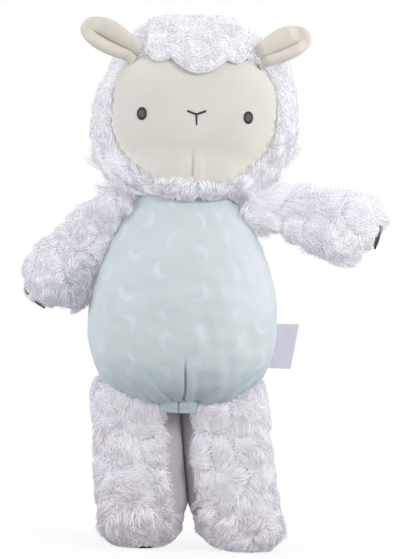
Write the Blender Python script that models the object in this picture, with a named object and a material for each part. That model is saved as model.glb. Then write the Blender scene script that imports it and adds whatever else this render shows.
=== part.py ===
"""A standing plush lamb: a stuffed body, head, ears and four limbs, sewn from separate cloth panels.

Metres, +Z up, the face looks along -Y, and the toy's own left is at +X.
Every stuffed part is a swelling form with a cloth skin over a filling.
A limb's root is a rounded end that seats in a socket in the body, where the real toy has a soft seam.
"""

import math

import bmesh
import bpy
from mathutils import Matrix, Vector

# Cloth and clearances
seam_gap = 0.0003
socket_gap = 0.0003
shoulder_gap = 0.0005
filling_gap = 0.0009
jersey_thickness = 0.0018
long_pile_thickness = 0.005
pad_thickness = 0.0022
overrun = 0.06
stance_offset = -0.0093

# Legs
hip_height = 0.080
hip_half_spacing = 0.0295
hip_radius = 0.0205
hip_half_width = 0.0225
hip_power = 3.4
leg_half_width = 0.0232
foot_half_width = 0.0245
foot_half_depth = 0.026
foot_corner = 0.011
leg_lean_share = 0.13
toe_forward = 0.003
left_leg_widening = 0.0012
hip_cap_angle = math.radians(80)
inner_leg_share = 0.13
inner_leg_gap = 0.0008
inner_leg_power = 4

# Body
body_seat_depth = 0.002
body_drop = 0.054
body_rise = 0.085
body_half_width = 0.0535
body_half_depth = 0.040
body_low_power = 2.6
body_high_power = 1.7
body_top_share = 0.8
body_pole_share = 0.995
body_middle_height = hip_height - body_seat_depth + body_drop
body_top_height = body_middle_height + body_rise * body_top_share
gusset_rise = 0.005
gusset_height = hip_height - body_seat_depth + gusset_rise
side_seam_angle = math.radians(97)

# Neck
yoke_foot_radius = 0.0245
yoke_belly_radius = 0.0325
yoke_lip_height = 0.014
yoke_bore_radius = 0.012
yoke_collar_height = 0.017
yoke_profile_shares = ((0.75, 0.35), (1.0, 0.7))

# Head
neck_rise = 0.0035
head_offset = 0.0024
head_half_width = 0.0565
head_radius = 0.048
crown_extra = 0.0025
head_power = 2.6
head_crown_rise = head_radius + crown_extra
head_middle_height = body_top_height + neck_rise + head_radius
face_recess = 0.002

# Face: its margins to the head's sides, crown and chin, and how full its corners are
face_lift = -0.007
face_offset = -0.0005
cheek_margin = 0.0098
brow_margin = 0.0195
chin_margin = 0.0055
face_middle_height = head_middle_height + face_lift
face_half_width = head_half_width - cheek_margin
face_rise = head_crown_rise - face_lift - brow_margin
face_drop = head_radius + face_lift - chin_margin
cheek_fullness_share = 0.10
chin_fullness_share = 0.05

# Forelock
forelock_half_width = 0.028
forelock_fall = 0.021
forelock_drop = 0.012
forelock_thickness = 0.003
forelock_back_depth = 0.004
forelock_end_height = head_middle_height + head_crown_rise - forelock_fall
forelock_shoulder_share = 0.38
forelock_lobe_shares = ((-1, -0.5, 0.25), (-0.5, 0.62, 0.62), (0.62, 1, 0.25))
piping_radius = 0.0007
piping_mitre_share = 0.4

# Eyes and nose
eye_half_width = 0.003
eye_half_height = 0.0037
eye_spacing = 0.0604
eye_fall = 0.0047
eye_height = head_middle_height - eye_fall
eye_thickness = 0.0009
eye_ring_share = 0.55
eye_crown_share = 1.15
eye_fall_share = 0.6
nose_fall = 0.0041
nose_height = head_middle_height - nose_fall
nose_half_width = 0.0051
nose_rise = 0.0019
nose_drop = 0.0063
nose_stroke = 0.0013
nose_thickness = 0.0008
nose_mitre_share = 0.35

# Ears
ear_length = 0.0345
ear_half_width = 0.0115
ear_root_half_width = 0.006
ear_cloth_thickness = 0.0022
ear_seat_depth = 0.0004
ear_fold_depth = 0.003
ear_inset = 0.022
ear_root_rise = 0.0285
ear_root_x = head_half_width - ear_inset
ear_root_height = head_middle_height + ear_root_rise
ear_rise_angle = math.radians(26)
ear_sweep_angle = math.radians(14)
ear_broadest_share = 0.48
ear_blunt_share = 1.02
ear_tip_power = 2.2
ear_fold_power = 0.7
ear_fold_end_share = 1.1

# Arms
shoulder_half_spacing = 0.0375
shoulder_drop = 0.006
shoulder_height = body_top_height - shoulder_drop
arm_root_radius = 0.013
arm_root_half_depth = 0.0135
arm_length = 0.0545
arm_end_half_width = 0.0215
arm_end_half_depth = 0.0165
arm_end_rise = 0.0205
arm_lowest_angle = math.radians(49.5)
left_arm_rest_angle = math.radians(9)
right_arm_rest_angle = math.radians(49.5)
arm_pad_share = 0.85
arm_end_power = 2.3
arm_root_angle = math.radians(82)
pad_ring_share = 0.5

# Side label
label_length = 0.025
label_width = 0.012
label_ply = 0.0005
label_rise = 0.0215
label_low_height = gusset_height + label_rise
label_standoff = 0.0009

# Facets
body_columns = 28
body_rows = 9
head_columns = 24
head_rows = 12
limb_columns = 16
cap_rows = 3
label_rows = 4

# Station tables along a limb: share of its length, then shares of the two half-sizes there
arm_station_shares = ((0.3, 0.25, 0.2), (0.62, 0.62, 0.55), (1.0, 1.0, 1.0))
leg_station_shares = (
    (0.925, 0.985, 0.955),
    (0.82, 0.985, 0.83),
    (0.68, 0.98, 0.98),
    (0.5, 0.975, 1.04),
    (0.28, 1.0, 1.06),
)
# How far the inner side swells toward the other leg: share of the height, share of the room there
inner_leg_shares = ((0.0, 0.0), (0.1, 0.0), (0.14, 0.2), (0.28, 0.95), (0.5, 1.0), (0.7, 1.0), (0.86, 0.0), (1.0, 0.0))

WHITE_PLUSH = (0.84, 0.83, 0.86)
CREAM = (0.72, 0.70, 0.62)
MINT = (0.62, 0.72, 0.70)
PALE = (0.70, 0.72, 0.72)
CHARCOAL = (0.045, 0.045, 0.055)
LABEL_WHITE = (0.80, 0.80, 0.87)
FILLING = (0.90, 0.90, 0.88)


def new_object(name, mesh_data, colour, roughness=0.9):
    """Link one shaded mesh with a material of its own."""
    mesh = bpy.data.meshes.new(name)
    mesh_data.to_mesh(mesh)
    mesh_data.free()
    mesh.shade_smooth()
    mesh.set_sharp_from_angle(angle=math.radians(50))
    piece = bpy.data.objects.new(name, mesh)
    bpy.context.scene.collection.objects.link(piece)
    material = bpy.data.materials.new(name)
    material.use_nodes = True
    shader = material.node_tree.nodes["Principled BSDF"]
    shader.inputs["Base Color"].default_value = (*colour, 1)
    shader.inputs["Roughness"].default_value = roughness
    shader.inputs["Metallic"].default_value = 0
    mesh.materials.append(material)
    return piece


def cutter(name, mesh_data):
    """Link a guide mesh that only shapes others."""
    guide = new_object(name, mesh_data, PALE)
    guide.hide_render = True
    guide.display_type = "WIRE"
    return guide


def cut(piece, tool, operation="DIFFERENCE"):
    modifier = piece.modifiers.new(tool.name, "BOOLEAN")
    modifier.operation = operation
    modifier.solver = "EXACT"
    modifier.object = tool


def pivot(name, place, pieces):
    """Hang pieces from an empty that stands on their joint's axis."""
    empty = bpy.data.objects.new(name, None)
    empty.location = place
    bpy.context.scene.collection.objects.link(empty)
    for piece in pieces:
        piece.parent = empty
        piece.matrix_parent_inverse = Matrix.Translation(place).inverted()
    return empty


def shares(count):
    return [index / count for index in range(count + 1)]


def skin(outer, inner, columns, rows, closed=False):
    """A closed cloth panel between two surfaces, each a function of a column share and a row share."""
    mesh = bmesh.new()
    column_shares = shares(columns)[:-1] if closed else shares(columns)
    layers = []
    for surface in (outer, inner):
        layers.append([[mesh.verts.new(surface(c, r)) for c in column_shares] for r in shares(rows)])
    wide = len(column_shares)
    reach = wide if closed else wide - 1
    for row in range(rows):
        for column in range(reach):
            after = (column + 1) % wide
            for layer in layers:
                mesh.faces.new((layer[row][column], layer[row][after], layer[row + 1][after], layer[row + 1][column]))
    for row in (0, rows):
        for column in range(reach):
            after = (column + 1) % wide
            mesh.faces.new(
                (layers[0][row][column], layers[0][row][after], layers[1][row][after], layers[1][row][column])
            )
    if not closed:
        for column in (0, wide - 1):
            for row in range(rows):
                mesh.faces.new(
                    (layers[0][row][column], layers[0][row + 1][column],
                     layers[1][row + 1][column], layers[1][row][column])
                )
    bmesh.ops.recalc_face_normals(mesh, faces=mesh.faces)
    return mesh


def stuffed(surface, columns, rows):
    """A solid filled up to one surface, closed by a fan at each end."""
    mesh = bmesh.new()
    rings = [[mesh.verts.new(surface(c, r)) for c in shares(columns)[:-1]] for r in shares(rows)]
    for low, high in zip(rings, rings[1:]):
        for column in range(columns):
            after = (column + 1) % columns
            mesh.faces.new((low[column], low[after], high[after], high[column]))
    for ring in (rings[0], rings[-1]):
        middle = mesh.verts.new(sum((vert.co for vert in ring), Vector()) / columns)
        for column in range(columns):
            mesh.faces.new((ring[column], ring[(column + 1) % columns], middle))
    bmesh.ops.recalc_face_normals(mesh, faces=mesh.faces)
    return mesh


def prism(outline, near, far):
    """A closed outline in X and Z, drawn out along Y."""
    mesh = bmesh.new()
    front = [mesh.verts.new((x, near, z)) for x, z in outline]
    back = [mesh.verts.new((x, far, z)) for x, z in outline]
    mesh.faces.new(front)
    mesh.faces.new(back)
    count = len(outline)
    for index in range(count):
        after = (index + 1) % count
        mesh.faces.new((front[index], front[after], back[after], back[index]))
    bmesh.ops.recalc_face_normals(mesh, faces=mesh.faces)
    bmesh.ops.triangulate(mesh, faces=mesh.faces)
    return mesh


def block(low, high):
    mesh = bmesh.new()
    size = Vector(high) - Vector(low)
    middle = (Vector(high) + Vector(low)) / 2
    bmesh.ops.create_cube(mesh, size=1, matrix=Matrix.Translation(middle) @ Matrix.Diagonal((*size, 1)))
    return mesh


def ellipsoid(middle, half_sizes, around=True, columns=24, rows=12):
    """A faceted ellipsoid whose facets lie outside the true one, or inside it."""
    mesh = bmesh.new()
    swell = 1 / (math.cos(math.pi / columns) * math.cos(math.pi / rows / 2)) if around else 1
    place = Matrix.Translation(middle) @ Matrix.Diagonal((*(size * swell for size in half_sizes), 1))
    bmesh.ops.create_uvsphere(mesh, u_segments=columns, v_segments=rows, radius=1, matrix=place)
    return mesh


def super_arc(share, power):
    """The half-width of a superellipse, as a share, at a share of its rise."""
    return max(0.0, 1 - abs(share) ** power) ** (1 / power)


def body_turn(height, inset):
    """The angle that a height has on the body's profile."""
    rise = height - body_middle_height
    reach = (body_rise if rise > 0 else body_drop) - inset
    return math.asin(max(-1.0, min(1.0, rise / reach)))


def body_point(angle, height_share, inset, base, top, slide=0.0):
    """A point of the body: angle from the front, share of the way between two heights."""
    drop = body_drop - inset
    rise = body_rise - inset
    low = body_turn(base, inset)
    high = body_turn(top, inset)
    turn = low + (high - low) * height_share
    if turn < 0:
        height = body_middle_height + drop * math.sin(turn)
        swell = super_arc(math.sin(turn), body_low_power)
    else:
        height = body_middle_height + rise * math.sin(turn)
        swell = super_arc(math.sin(turn), body_high_power)
    across = Vector((math.cos(angle), math.sin(angle), 0))
    point = Vector((
        (body_half_width - inset) * swell * math.sin(angle),
        -(body_half_depth - inset) * swell * math.cos(angle),
        height,
    ))
    return point + across * slide


def body_panel(start_angle, end_angle, base, top, columns, rows):
    """A jersey or plush panel of the body between two seams."""
    def surface(inset):
        def place(column, row):
            angle = start_angle + (end_angle - start_angle) * column
            slide = seam_gap * (0.5 - column)
            return body_point(angle, row, inset, base, top, slide)
        return place
    return skin(surface(0), surface(jersey_thickness), columns, rows)


def make_body():
    above_seam = gusset_height + seam_gap / 2
    below_seam = gusset_height - seam_gap / 2
    lowest = body_middle_height - body_drop
    full = math.tau
    front_columns = body_columns // 2 + 2
    back_columns = body_columns // 4
    panels = [
        new_object(
            "belly_panel",
            body_panel(-side_seam_angle, side_seam_angle, above_seam, body_top_height, front_columns, body_rows),
            MINT,
        ),
        new_object(
            "back_panel_left",
            body_panel(side_seam_angle, full / 2, above_seam, body_top_height, back_columns, body_rows),
            WHITE_PLUSH,
        ),
        new_object(
            "back_panel_right",
            body_panel(-full / 2, -side_seam_angle, above_seam, body_top_height, back_columns, body_rows),
            WHITE_PLUSH,
        ),
    ]

    def gusset_surface(inset):
        def place(column, row):
            floor = lowest + inset
            return body_point(full * column, row, inset, floor, below_seam)
        return place

    gusset = bmesh.new()
    rings = []
    for inset in (0, jersey_thickness):
        surface = gusset_surface(inset)
        tip = gusset.verts.new((0, 0, lowest + inset))
        rows = [[gusset.verts.new(surface(c, r)) for c in shares(body_columns)[:-1]] for r in shares(3)[1:]]
        for column in range(body_columns):
            after = (column + 1) % body_columns
            gusset.faces.new((tip, rows[0][column], rows[0][after]))
            for low, high in zip(rows, rows[1:]):
                gusset.faces.new((low[column], low[after], high[after], high[column]))
        rings.append(rows[-1])
    for column in range(body_columns):
        after = (column + 1) % body_columns
        gusset.faces.new((rings[0][column], rings[0][after], rings[1][after], rings[1][column]))
    bmesh.ops.recalc_face_normals(gusset, faces=gusset.faces)
    panels.append(new_object("crotch_gusset", gusset, MINT))

    inset = jersey_thickness + filling_gap
    foot = body_middle_height - (body_drop - inset) * body_pole_share

    def filling(column, row):
        return body_point(full * column, row, inset, foot, body_top_height)

    panels.append(new_object("torso_filling", stuffed(filling, body_columns - 8, body_rows - 1), FILLING))
    return panels


def head_profile(x, inset):
    """The radius of the head about its left-to-right axis."""
    return (head_radius - inset) * super_arc(x / (head_half_width - inset), head_power)


def head_point(turn, across, inset):
    """A point of the head: turn about its left-to-right axis, across from -1 to 1 along it."""
    x = (head_half_width - inset) * math.sin(across * math.pi / 2)
    radius = head_profile(x, inset)
    rise = math.sin(turn)
    stretch = (head_crown_rise - inset) / (head_radius - inset) if rise > 0 else 1
    return Vector((head_offset + x, -radius * math.cos(turn), head_middle_height + radius * rise * stretch))


def head_front(x, z, inset):
    """The depth of the head's front at a place in the front view."""
    rise = z - head_middle_height
    if rise > 0:
        rise = rise * (head_radius - inset) / (head_crown_rise - inset)
    radius = head_profile(x - head_offset, inset)
    return -math.sqrt(max(0.0, radius ** 2 - rise ** 2))


def head_solid(inset, columns, rows):
    mesh = bmesh.new()
    rings = []
    steps = [2 * share - 1 for share in shares(rows)][1:-1]
    for across in steps:
        rings.append([mesh.verts.new(head_point(math.tau * c, across, inset)) for c in shares(columns)[:-1]])
    for low, high in zip(rings, rings[1:]):
        for column in range(columns):
            after = (column + 1) % columns
            mesh.faces.new((low[column], low[after], high[after], high[column]))
    for ring, side in ((rings[0], -1), (rings[-1], 1)):
        tip = mesh.verts.new(head_point(0, side, inset))
        for column in range(columns):
            mesh.faces.new((ring[column], ring[(column + 1) % columns], tip))
    bmesh.ops.recalc_face_normals(mesh, faces=mesh.faces)
    return mesh


def face_outline(margin):
    """A rounded shield: full at the cheeks, narrower at the brow, drawn in at the chin."""
    points = []
    for share in shares(40)[:-1]:
        turn = math.tau * share
        side = math.cos(turn)
        lift = math.sin(turn)
        reach = face_rise if lift > 0 else face_drop
        fullness = cheek_fullness_share if lift > 0 else chin_fullness_share
        square = 1 + fullness * math.sin(2 * turn) ** 2
        points.append((
            head_offset + face_offset + (face_half_width + margin) * side * square,
            face_middle_height + (reach + margin) * lift * square,
        ))
    return points


def forelock_edge():
    """The scalloped lower edge, a small lobe on each side of a large one, from right to left."""
    drop = forelock_drop
    edge = []
    for start, end, depth_share in forelock_lobe_shares:
        for share in shares(6)[:-1]:
            side = start + (end - start) * share
            shoulder = forelock_end_height - drop * forelock_shoulder_share * super_arc(side, 2)
            sag = drop * depth_share * math.sin(math.pi * share)
            edge.append((head_offset + forelock_half_width * side, shoulder - sag))
    edge.append((head_offset + forelock_half_width, forelock_end_height))
    return edge


def make_head():
    inner = cutter("head_guide_inner", head_solid(long_pile_thickness, head_columns, head_rows))
    middle_back = 0
    front = -(head_radius + overrun)
    face_window = cutter("face_guide", prism(face_outline(-seam_gap / 2), front, middle_back))
    hood_window = cutter("hood_guide", prism(face_outline(seam_gap / 2), front, middle_back))
    bore = bmesh.new()
    place = Matrix.Translation((0, 0, head_middle_height - head_radius))
    bmesh.ops.create_cone(
        bore, cap_ends=True, segments=16, radius1=yoke_bore_radius, radius2=yoke_bore_radius,
        depth=overrun / 2, matrix=place,
    )
    neck_bore = cutter("neck_guide", bore)
    pieces = []
    face = new_object("face_panel", head_solid(face_recess, head_columns, head_rows), CREAM)
    cut(face, inner)
    cut(face, face_window, "INTERSECT")
    pieces.append(face)
    reach = head_half_width + overrun
    tall = head_middle_height + overrun * 2
    for side, name in ((1, "hood_left"), (-1, "hood_right")):
        near = head_offset + side * seam_gap / 2
        low = (min(near, side * reach), -reach, 0)
        high = (max(near, side * reach), reach, tall)
        half = cutter(name + "_guide", block(low, high))
        hood = new_object(name, head_solid(0, head_columns, head_rows), WHITE_PLUSH)
        cut(hood, half, "INTERSECT")
        cut(hood, inner)
        cut(hood, hood_window)
        cut(hood, neck_bore)
        pieces.append(hood)
    fill_inset = long_pile_thickness + filling_gap
    pieces.append(new_object("head_filling", head_solid(fill_inset, head_columns - 4, head_rows - 2), FILLING))

    crown = head_middle_height + head_crown_rise + overrun
    edge = forelock_edge()
    window = edge + [(edge[-1][0], crown), (edge[0][0], crown)]
    lock_window = cutter("forelock_guide", prism(window, front, forelock_back_depth))
    lock_inner = cutter("forelock_guide_inner", head_solid(-seam_gap, head_columns, head_rows))
    lock = new_object("forelock", head_solid(-seam_gap - forelock_thickness, head_columns, head_rows), WHITE_PLUSH)
    cut(lock, lock_inner)
    cut(lock, lock_window, "INTERSECT")
    pieces.append(lock)
    pieces.append(new_object("forelock_piping", make_piping(), LABEL_WHITE))
    for side, name in ((1, "eye_left"), (-1, "eye_right")):
        pieces.append(new_object(name, make_eye(side), CHARCOAL, 0.5))
    pieces.append(new_object("nose_stitch", make_nose(), CHARCOAL, 0.5))
    return pieces


def on_face(x, z, lift):
    """A point that stands off the face by a lift, measured towards the front."""
    return Vector((x, head_front(x, z, face_recess) - lift, z))


def make_piping():
    """A cord of thread that lies along the forelock's edge."""
    mesh = bmesh.new()
    drop = piping_radius + seam_gap
    edge = [Vector(point) for point in forelock_edge()]
    route = []
    for index, point in enumerate(edge):
        before = edge[max(0, index - 1)]
        after = edge[min(len(edge) - 1, index + 1)]
        steps = [(end - start).normalized() for start, end in ((before, point), (point, after)) if start != end]
        normals = [Vector((step.y, -step.x)) for step in steps]
        mitre = sum(normals, Vector((0, 0))).normalized()
        place = point + mitre * drop / max(piping_mitre_share, mitre.dot(normals[0]))
        route.append(Vector((place.x, head_front(place.x, place.y, 0) - drop, place.y)))
    sides = 6
    rings = []
    for index, point in enumerate(route):
        before = route[max(0, index - 1)]
        after = route[min(len(route) - 1, index + 1)]
        along = (after - before).normalized()
        out = Vector((0, -1, 0))
        out = (out - along * out.dot(along)).normalized()
        beside = along.cross(out)
        ring = []
        for step in range(sides):
            turn = math.tau * step / sides
            ring.append(mesh.verts.new(point + (out * math.cos(turn) + beside * math.sin(turn)) * piping_radius))
        rings.append(ring)
    for low, high in zip(rings, rings[1:]):
        for step in range(sides):
            after = (step + 1) % sides
            mesh.faces.new((low[step], low[after], high[after], high[step]))
    mesh.faces.new(rings[0])
    mesh.faces.new(rings[-1])
    bmesh.ops.recalc_face_normals(mesh, faces=mesh.faces)
    return mesh


def make_eye(side):
    """A raised oval of satin stitch."""
    mesh = bmesh.new()
    middle_x = head_offset - seam_gap + side * eye_spacing / 2
    segments = 14
    layers = []
    for high in (True, False):
        rings = []
        for share in (eye_ring_share, 1.0):
            ring = []
            for step in range(segments):
                turn = math.tau * step / segments
                x = middle_x + eye_half_width * share * math.cos(turn)
                z = eye_height + eye_half_height * share * math.sin(turn)
                crown = eye_thickness * (eye_crown_share - eye_fall_share * share ** 2) if high else 0
                ring.append(mesh.verts.new(on_face(x, z, seam_gap + crown)))
            rings.append(ring)
        crown = eye_thickness * eye_crown_share if high else 0
        tip = mesh.verts.new(on_face(middle_x, eye_height, seam_gap + crown))
        for step in range(segments):
            after = (step + 1) % segments
            mesh.faces.new((tip, rings[0][step], rings[0][after]))
            mesh.faces.new((rings[0][step], rings[1][step], rings[1][after], rings[0][after]))
        layers.append(rings[-1])
    for step in range(segments):
        after = (step + 1) % segments
        mesh.faces.new((layers[0][step], layers[0][after], layers[1][after], layers[1][step]))
    bmesh.ops.recalc_face_normals(mesh, faces=mesh.faces)
    return mesh


def make_nose():
    """Two nostril strokes and the stroke below them, as one stitched Y."""
    middle_x = head_offset - seam_gap * 2
    half = nose_stroke / 2
    joint = Vector((middle_x, nose_height))
    ends = (
        Vector((middle_x + nose_half_width, nose_height + nose_rise)),
        Vector((middle_x - nose_half_width, nose_height + nose_rise)),
        Vector((middle_x, nose_height - nose_drop)),
    )
    outline = []
    for index, end in enumerate(ends):
        along = (end - joint).normalized()
        beside = Vector((-along.y, along.x))
        outline.append(end - beside * half)
        outline.append(end + along * half)
        outline.append(end + beside * half)
        following = (ends[(index + 1) % 3] - joint).normalized()
        crotch = (along + following).normalized()
        spread = max(nose_mitre_share, abs(along.x * crotch.y - along.y * crotch.x))
        outline.append(joint + crotch * half / spread)
    mesh = bmesh.new()
    layers = []
    for lift in (seam_gap, seam_gap + nose_thickness):
        layers.append([mesh.verts.new(on_face(point.x, point.y, lift)) for point in outline])
    mesh.faces.new(layers[0])
    mesh.faces.new(layers[1])
    count = len(outline)
    for index in range(count):
        after = (index + 1) % count
        mesh.faces.new((layers[0][index], layers[0][after], layers[1][after], layers[1][index]))
    bmesh.ops.recalc_face_normals(mesh, faces=mesh.faces)
    bmesh.ops.triangulate(mesh, faces=mesh.faces)
    return mesh


def make_yoke():
    """The plush ring that joins the body's top to the head."""
    foot = body_top_height + seam_gap
    profile = [(yoke_bore_radius, foot), (yoke_foot_radius, foot)]
    for wide_share, high_share in yoke_profile_shares:
        wide = yoke_foot_radius + (yoke_belly_radius - yoke_foot_radius) * wide_share
        profile.append((wide, foot + yoke_lip_height * high_share))
    profile.append((yoke_belly_radius, foot + yoke_collar_height))
    profile.append((yoke_bore_radius, foot + yoke_collar_height))
    mesh = bmesh.new()
    rings = []
    for share in shares(body_columns)[:-1]:
        turn = math.tau * share
        rings.append([mesh.verts.new((r * math.cos(turn), r * math.sin(turn), z)) for r, z in profile])
    for index, ring in enumerate(rings):
        after = rings[(index + 1) % len(rings)]
        for step in range(len(profile)):
            following = (step + 1) % len(profile)
            mesh.faces.new((ring[step], ring[following], after[following], after[step]))
    bmesh.ops.recalc_face_normals(mesh, faces=mesh.faces)
    yoke = new_object("neck_yoke", mesh, WHITE_PLUSH)
    facet_sag = head_radius * (1 - math.cos(math.pi / head_columns))
    bowl = cutter("bowl_guide", head_solid(-socket_gap - facet_sag, head_columns, head_rows))
    cut(yoke, bowl)
    return [yoke]


def ear_frame(side):
    """The ear's root on the head and its three directions: out along the ear, up across it, and forward."""
    x = head_offset + side * ear_root_x
    z = ear_root_height
    seat = Vector((x, head_front(x, z, 0), z))
    beside = Vector((x + seam_gap, head_front(x + seam_gap, z, 0), z)) - seat
    above = Vector((x, head_front(x, z + seam_gap, 0), z + seam_gap)) - seat
    outward = beside.cross(above).normalized()
    along = Vector((
        side * math.cos(ear_rise_angle) * math.cos(ear_sweep_angle),
        math.cos(ear_rise_angle) * math.sin(ear_sweep_angle),
        math.sin(ear_rise_angle),
    ))
    forward = (outward - along * outward.dot(along)).normalized()
    up = forward.cross(along) * side
    root = seat + outward * (ear_cloth_thickness - ear_seat_depth)
    return root, along, up, forward


def make_ear(side, name):
    """A leaf of two cloths, folded lengthwise, that turns on the seam line at its root."""
    root, along, up, forward = ear_frame(side)
    columns = 8
    rows = 7

    def half_width(row):
        swell = math.sin(math.pi / 2 * min(1.0, row / ear_broadest_share))
        tip = super_arc(max(0.0, row - ear_broadest_share) / (ear_blunt_share - ear_broadest_share), ear_tip_power)
        return (ear_root_half_width + (ear_half_width - ear_root_half_width) * swell) * tip

    def surface(depth):
        def place(column, row):
            across = 2 * column - 1
            reach = ear_length * row
            ridge = math.sin(math.pi * min(1.0, row * ear_fold_end_share)) ** ear_fold_power
            fold = ear_fold_depth * (1 - abs(across)) * ridge
            wide = half_width(row)
            return root + along * reach + up * wide * across + forward * (depth - fold)
        return place

    half_root = ear_cloth_thickness + seam_gap / 2
    front = skin(surface(half_root), surface(seam_gap / 2), columns, rows)
    back = skin(surface(-seam_gap / 2), surface(-half_root), columns, rows)
    pieces = [new_object(name + "_lining", front, CREAM), new_object(name + "_outer", back, CREAM)]
    return pieces, root


def arm_section(share, inset):
    """Along-axis place and the two half-sizes of the arm at a share of its row count."""
    rows = cap_rows * 2 + len(arm_station_shares)
    step = share * rows
    root_radius = arm_root_radius - inset
    root_depth = arm_root_half_depth - inset
    end_width = arm_end_half_width - inset
    end_depth = arm_end_half_depth - inset
    end_rise = arm_end_rise - inset
    if step <= cap_rows:
        turn = (1 - step / cap_rows) * arm_root_angle
        return -root_radius * math.sin(turn), root_radius * math.cos(turn), root_depth * math.cos(turn)
    if step <= cap_rows + len(arm_station_shares):
        index = round(step - cap_rows) - 1
        along, width_share, depth_share = arm_station_shares[index]
        wide = root_radius + (end_width - root_radius) * width_share
        deep = root_depth + (end_depth - root_depth) * depth_share
        return arm_length * along, wide, deep
    rise = (step - cap_rows - len(arm_station_shares)) / cap_rows * arm_pad_share
    swell = super_arc(rise, arm_end_power)
    return arm_length + end_rise * rise, end_width * swell, end_depth * swell


def arm_surface(side, inset, angles=(0, 1)):
    """The arm at its lowest pose, hanging beside the body."""
    shoulder = Vector((side * shoulder_half_spacing, 0, shoulder_height))
    along = Vector((side * math.cos(arm_lowest_angle), 0, -math.sin(arm_lowest_angle)))
    upper = Vector((side * math.sin(arm_lowest_angle), 0, math.cos(arm_lowest_angle)))
    start, end = angles

    def place(column, row):
        turn = math.tau * (start + (end - start) * column)
        reach, wide, deep = arm_section(row, inset)
        return shoulder + along * reach + upper * wide * math.cos(turn) + Vector((0, -deep * math.sin(turn), 0))
    return place


def shoulder_sizes(gap):
    """The half-sizes of an arm's root with a clearance round it."""
    return (arm_root_radius + gap, arm_root_half_depth + gap, arm_root_radius + gap)


def body_guide(name):
    """The body's outer form with a seam's clearance round it, which trims the arm that lies against it."""
    foot = body_middle_height - body_drop * body_pole_share
    columns = body_columns * 2
    rows = body_rows * 2
    inset = -socket_gap - body_half_width * (1 - math.cos(math.pi / columns)) * 2

    def surface(column, row):
        return body_point(math.tau * column, row, inset, foot, body_top_height + socket_gap)

    return cutter(name + "_flank_guide", stuffed(surface, columns, rows))


def make_arm(side, name):
    rows = cap_rows * 2 + len(arm_station_shares)
    half = limb_columns // 2
    shoulder = Vector((side * shoulder_half_spacing, 0, shoulder_height))
    pieces = []
    for part, angles in (("front", (0, 0.5)), ("back", (0.5, 1))):
        panel = arm_panel(side, angles, half, rows)
        pieces.append(new_object(f"{name}_{part}_panel", panel, WHITE_PLUSH))
    fill = long_pile_thickness + filling_gap
    filling = stuffed(arm_surface(side, fill), limb_columns - 4, rows)
    pieces.append(new_object(f"{name}_filling", filling, FILLING))
    pieces.append(new_object(f"{name}_pad", arm_pad(side), CHARCOAL))
    return pieces, shoulder


def arm_panel(side, angles, columns, rows):
    """Half of the arm's plush sleeve, with its two long seams drawn back from the middle plane."""
    mesh = skin(arm_surface(side, 0, angles), arm_surface(side, long_pile_thickness, angles), columns, rows)
    facing = -1 if angles[0] == 0 else 1
    for vert in mesh.verts:
        if abs(vert.co.y) < seam_gap / 2:
            vert.co.y = facing * seam_gap / 2
    return mesh


def arm_pad(side):
    """The dark pad that closes the arm's end."""
    shoulder = Vector((side * shoulder_half_spacing, 0, shoulder_height))
    along = Vector((side * math.cos(arm_lowest_angle), 0, -math.sin(arm_lowest_angle)))
    upper = Vector((side * math.sin(arm_lowest_angle), 0, math.cos(arm_lowest_angle)))
    reach, wide, deep = arm_section(1, 0)
    floor = reach + seam_gap
    dome = arm_end_rise * (1 - arm_pad_share)
    mesh = bmesh.new()
    layers = []
    for level in (0, pad_thickness):
        rings = []
        for share in (pad_ring_share, 1.0):
            ring = []
            for step in range(limb_columns):
                turn = math.tau * step / limb_columns
                crown = dome * (1 - share ** 2)
                point = shoulder + along * (floor + level + crown) + upper * wide * share * math.cos(turn)
                ring.append(mesh.verts.new(point + Vector((0, -deep * share * math.sin(turn), 0))))
            rings.append(ring)
        tip = mesh.verts.new(shoulder + along * (floor + level + dome))
        for step in range(limb_columns):
            after = (step + 1) % limb_columns
            mesh.faces.new((tip, rings[0][step], rings[0][after]))
            mesh.faces.new((rings[0][step], rings[1][step], rings[1][after], rings[0][after]))
        layers.append(rings[-1])
    for step in range(limb_columns):
        after = (step + 1) % limb_columns
        mesh.faces.new((layers[0][step], layers[0][after], layers[1][after], layers[1][step]))
    bmesh.ops.recalc_face_normals(mesh, faces=mesh.faces)
    return mesh


def leg_section(share, inset, widening):
    """Height and the two half-sizes of the leg, from the hip's top down to the sole."""
    stations = len(leg_station_shares)
    corners = cap_rows
    rows = cap_rows + 1 + stations + corners
    step = share * rows
    deep_root = hip_radius - inset
    wide_root = hip_half_width - inset
    if step <= cap_rows + 0.001:
        turn = (1 - step / cap_rows) * hip_cap_angle
        wide = wide_root * super_arc(math.sin(turn), hip_power)
        return hip_height + deep_root * math.sin(turn), wide, deep_root * math.cos(turn)
    index = round(step - cap_rows) - 1
    if index < stations:
        high, width_share, depth_share = leg_station_shares[index]
        wide = (leg_half_width + widening * (1 - high)) * width_share - inset
        return hip_height * high, wide, hip_radius * depth_share - inset
    turn = (index - stations) / corners * math.pi / 2
    wide = foot_half_width + widening - foot_corner * (1 - math.cos(turn))
    deep = foot_half_depth - foot_corner * (1 - math.cos(turn))
    return foot_corner * (1 - math.sin(turn)) + sole_lift(turn, inset), wide - inset, deep - inset


def inner_swell(height, widening):
    """How far the leg's inner side swells toward the other leg at a height."""
    high = height / hip_height
    room = hip_half_spacing - leg_half_width - widening * (1 - high) - inner_leg_gap
    for (low, before), (top, after) in zip(inner_leg_shares, inner_leg_shares[1:]):
        if low <= high < top:
            return room * (before + (after - before) * (high - low) / (top - low))
    return 0.0


def sole_lift(turn, inset):
    """The inner layer stops above the sole."""
    return inset * math.sin(turn)


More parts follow.
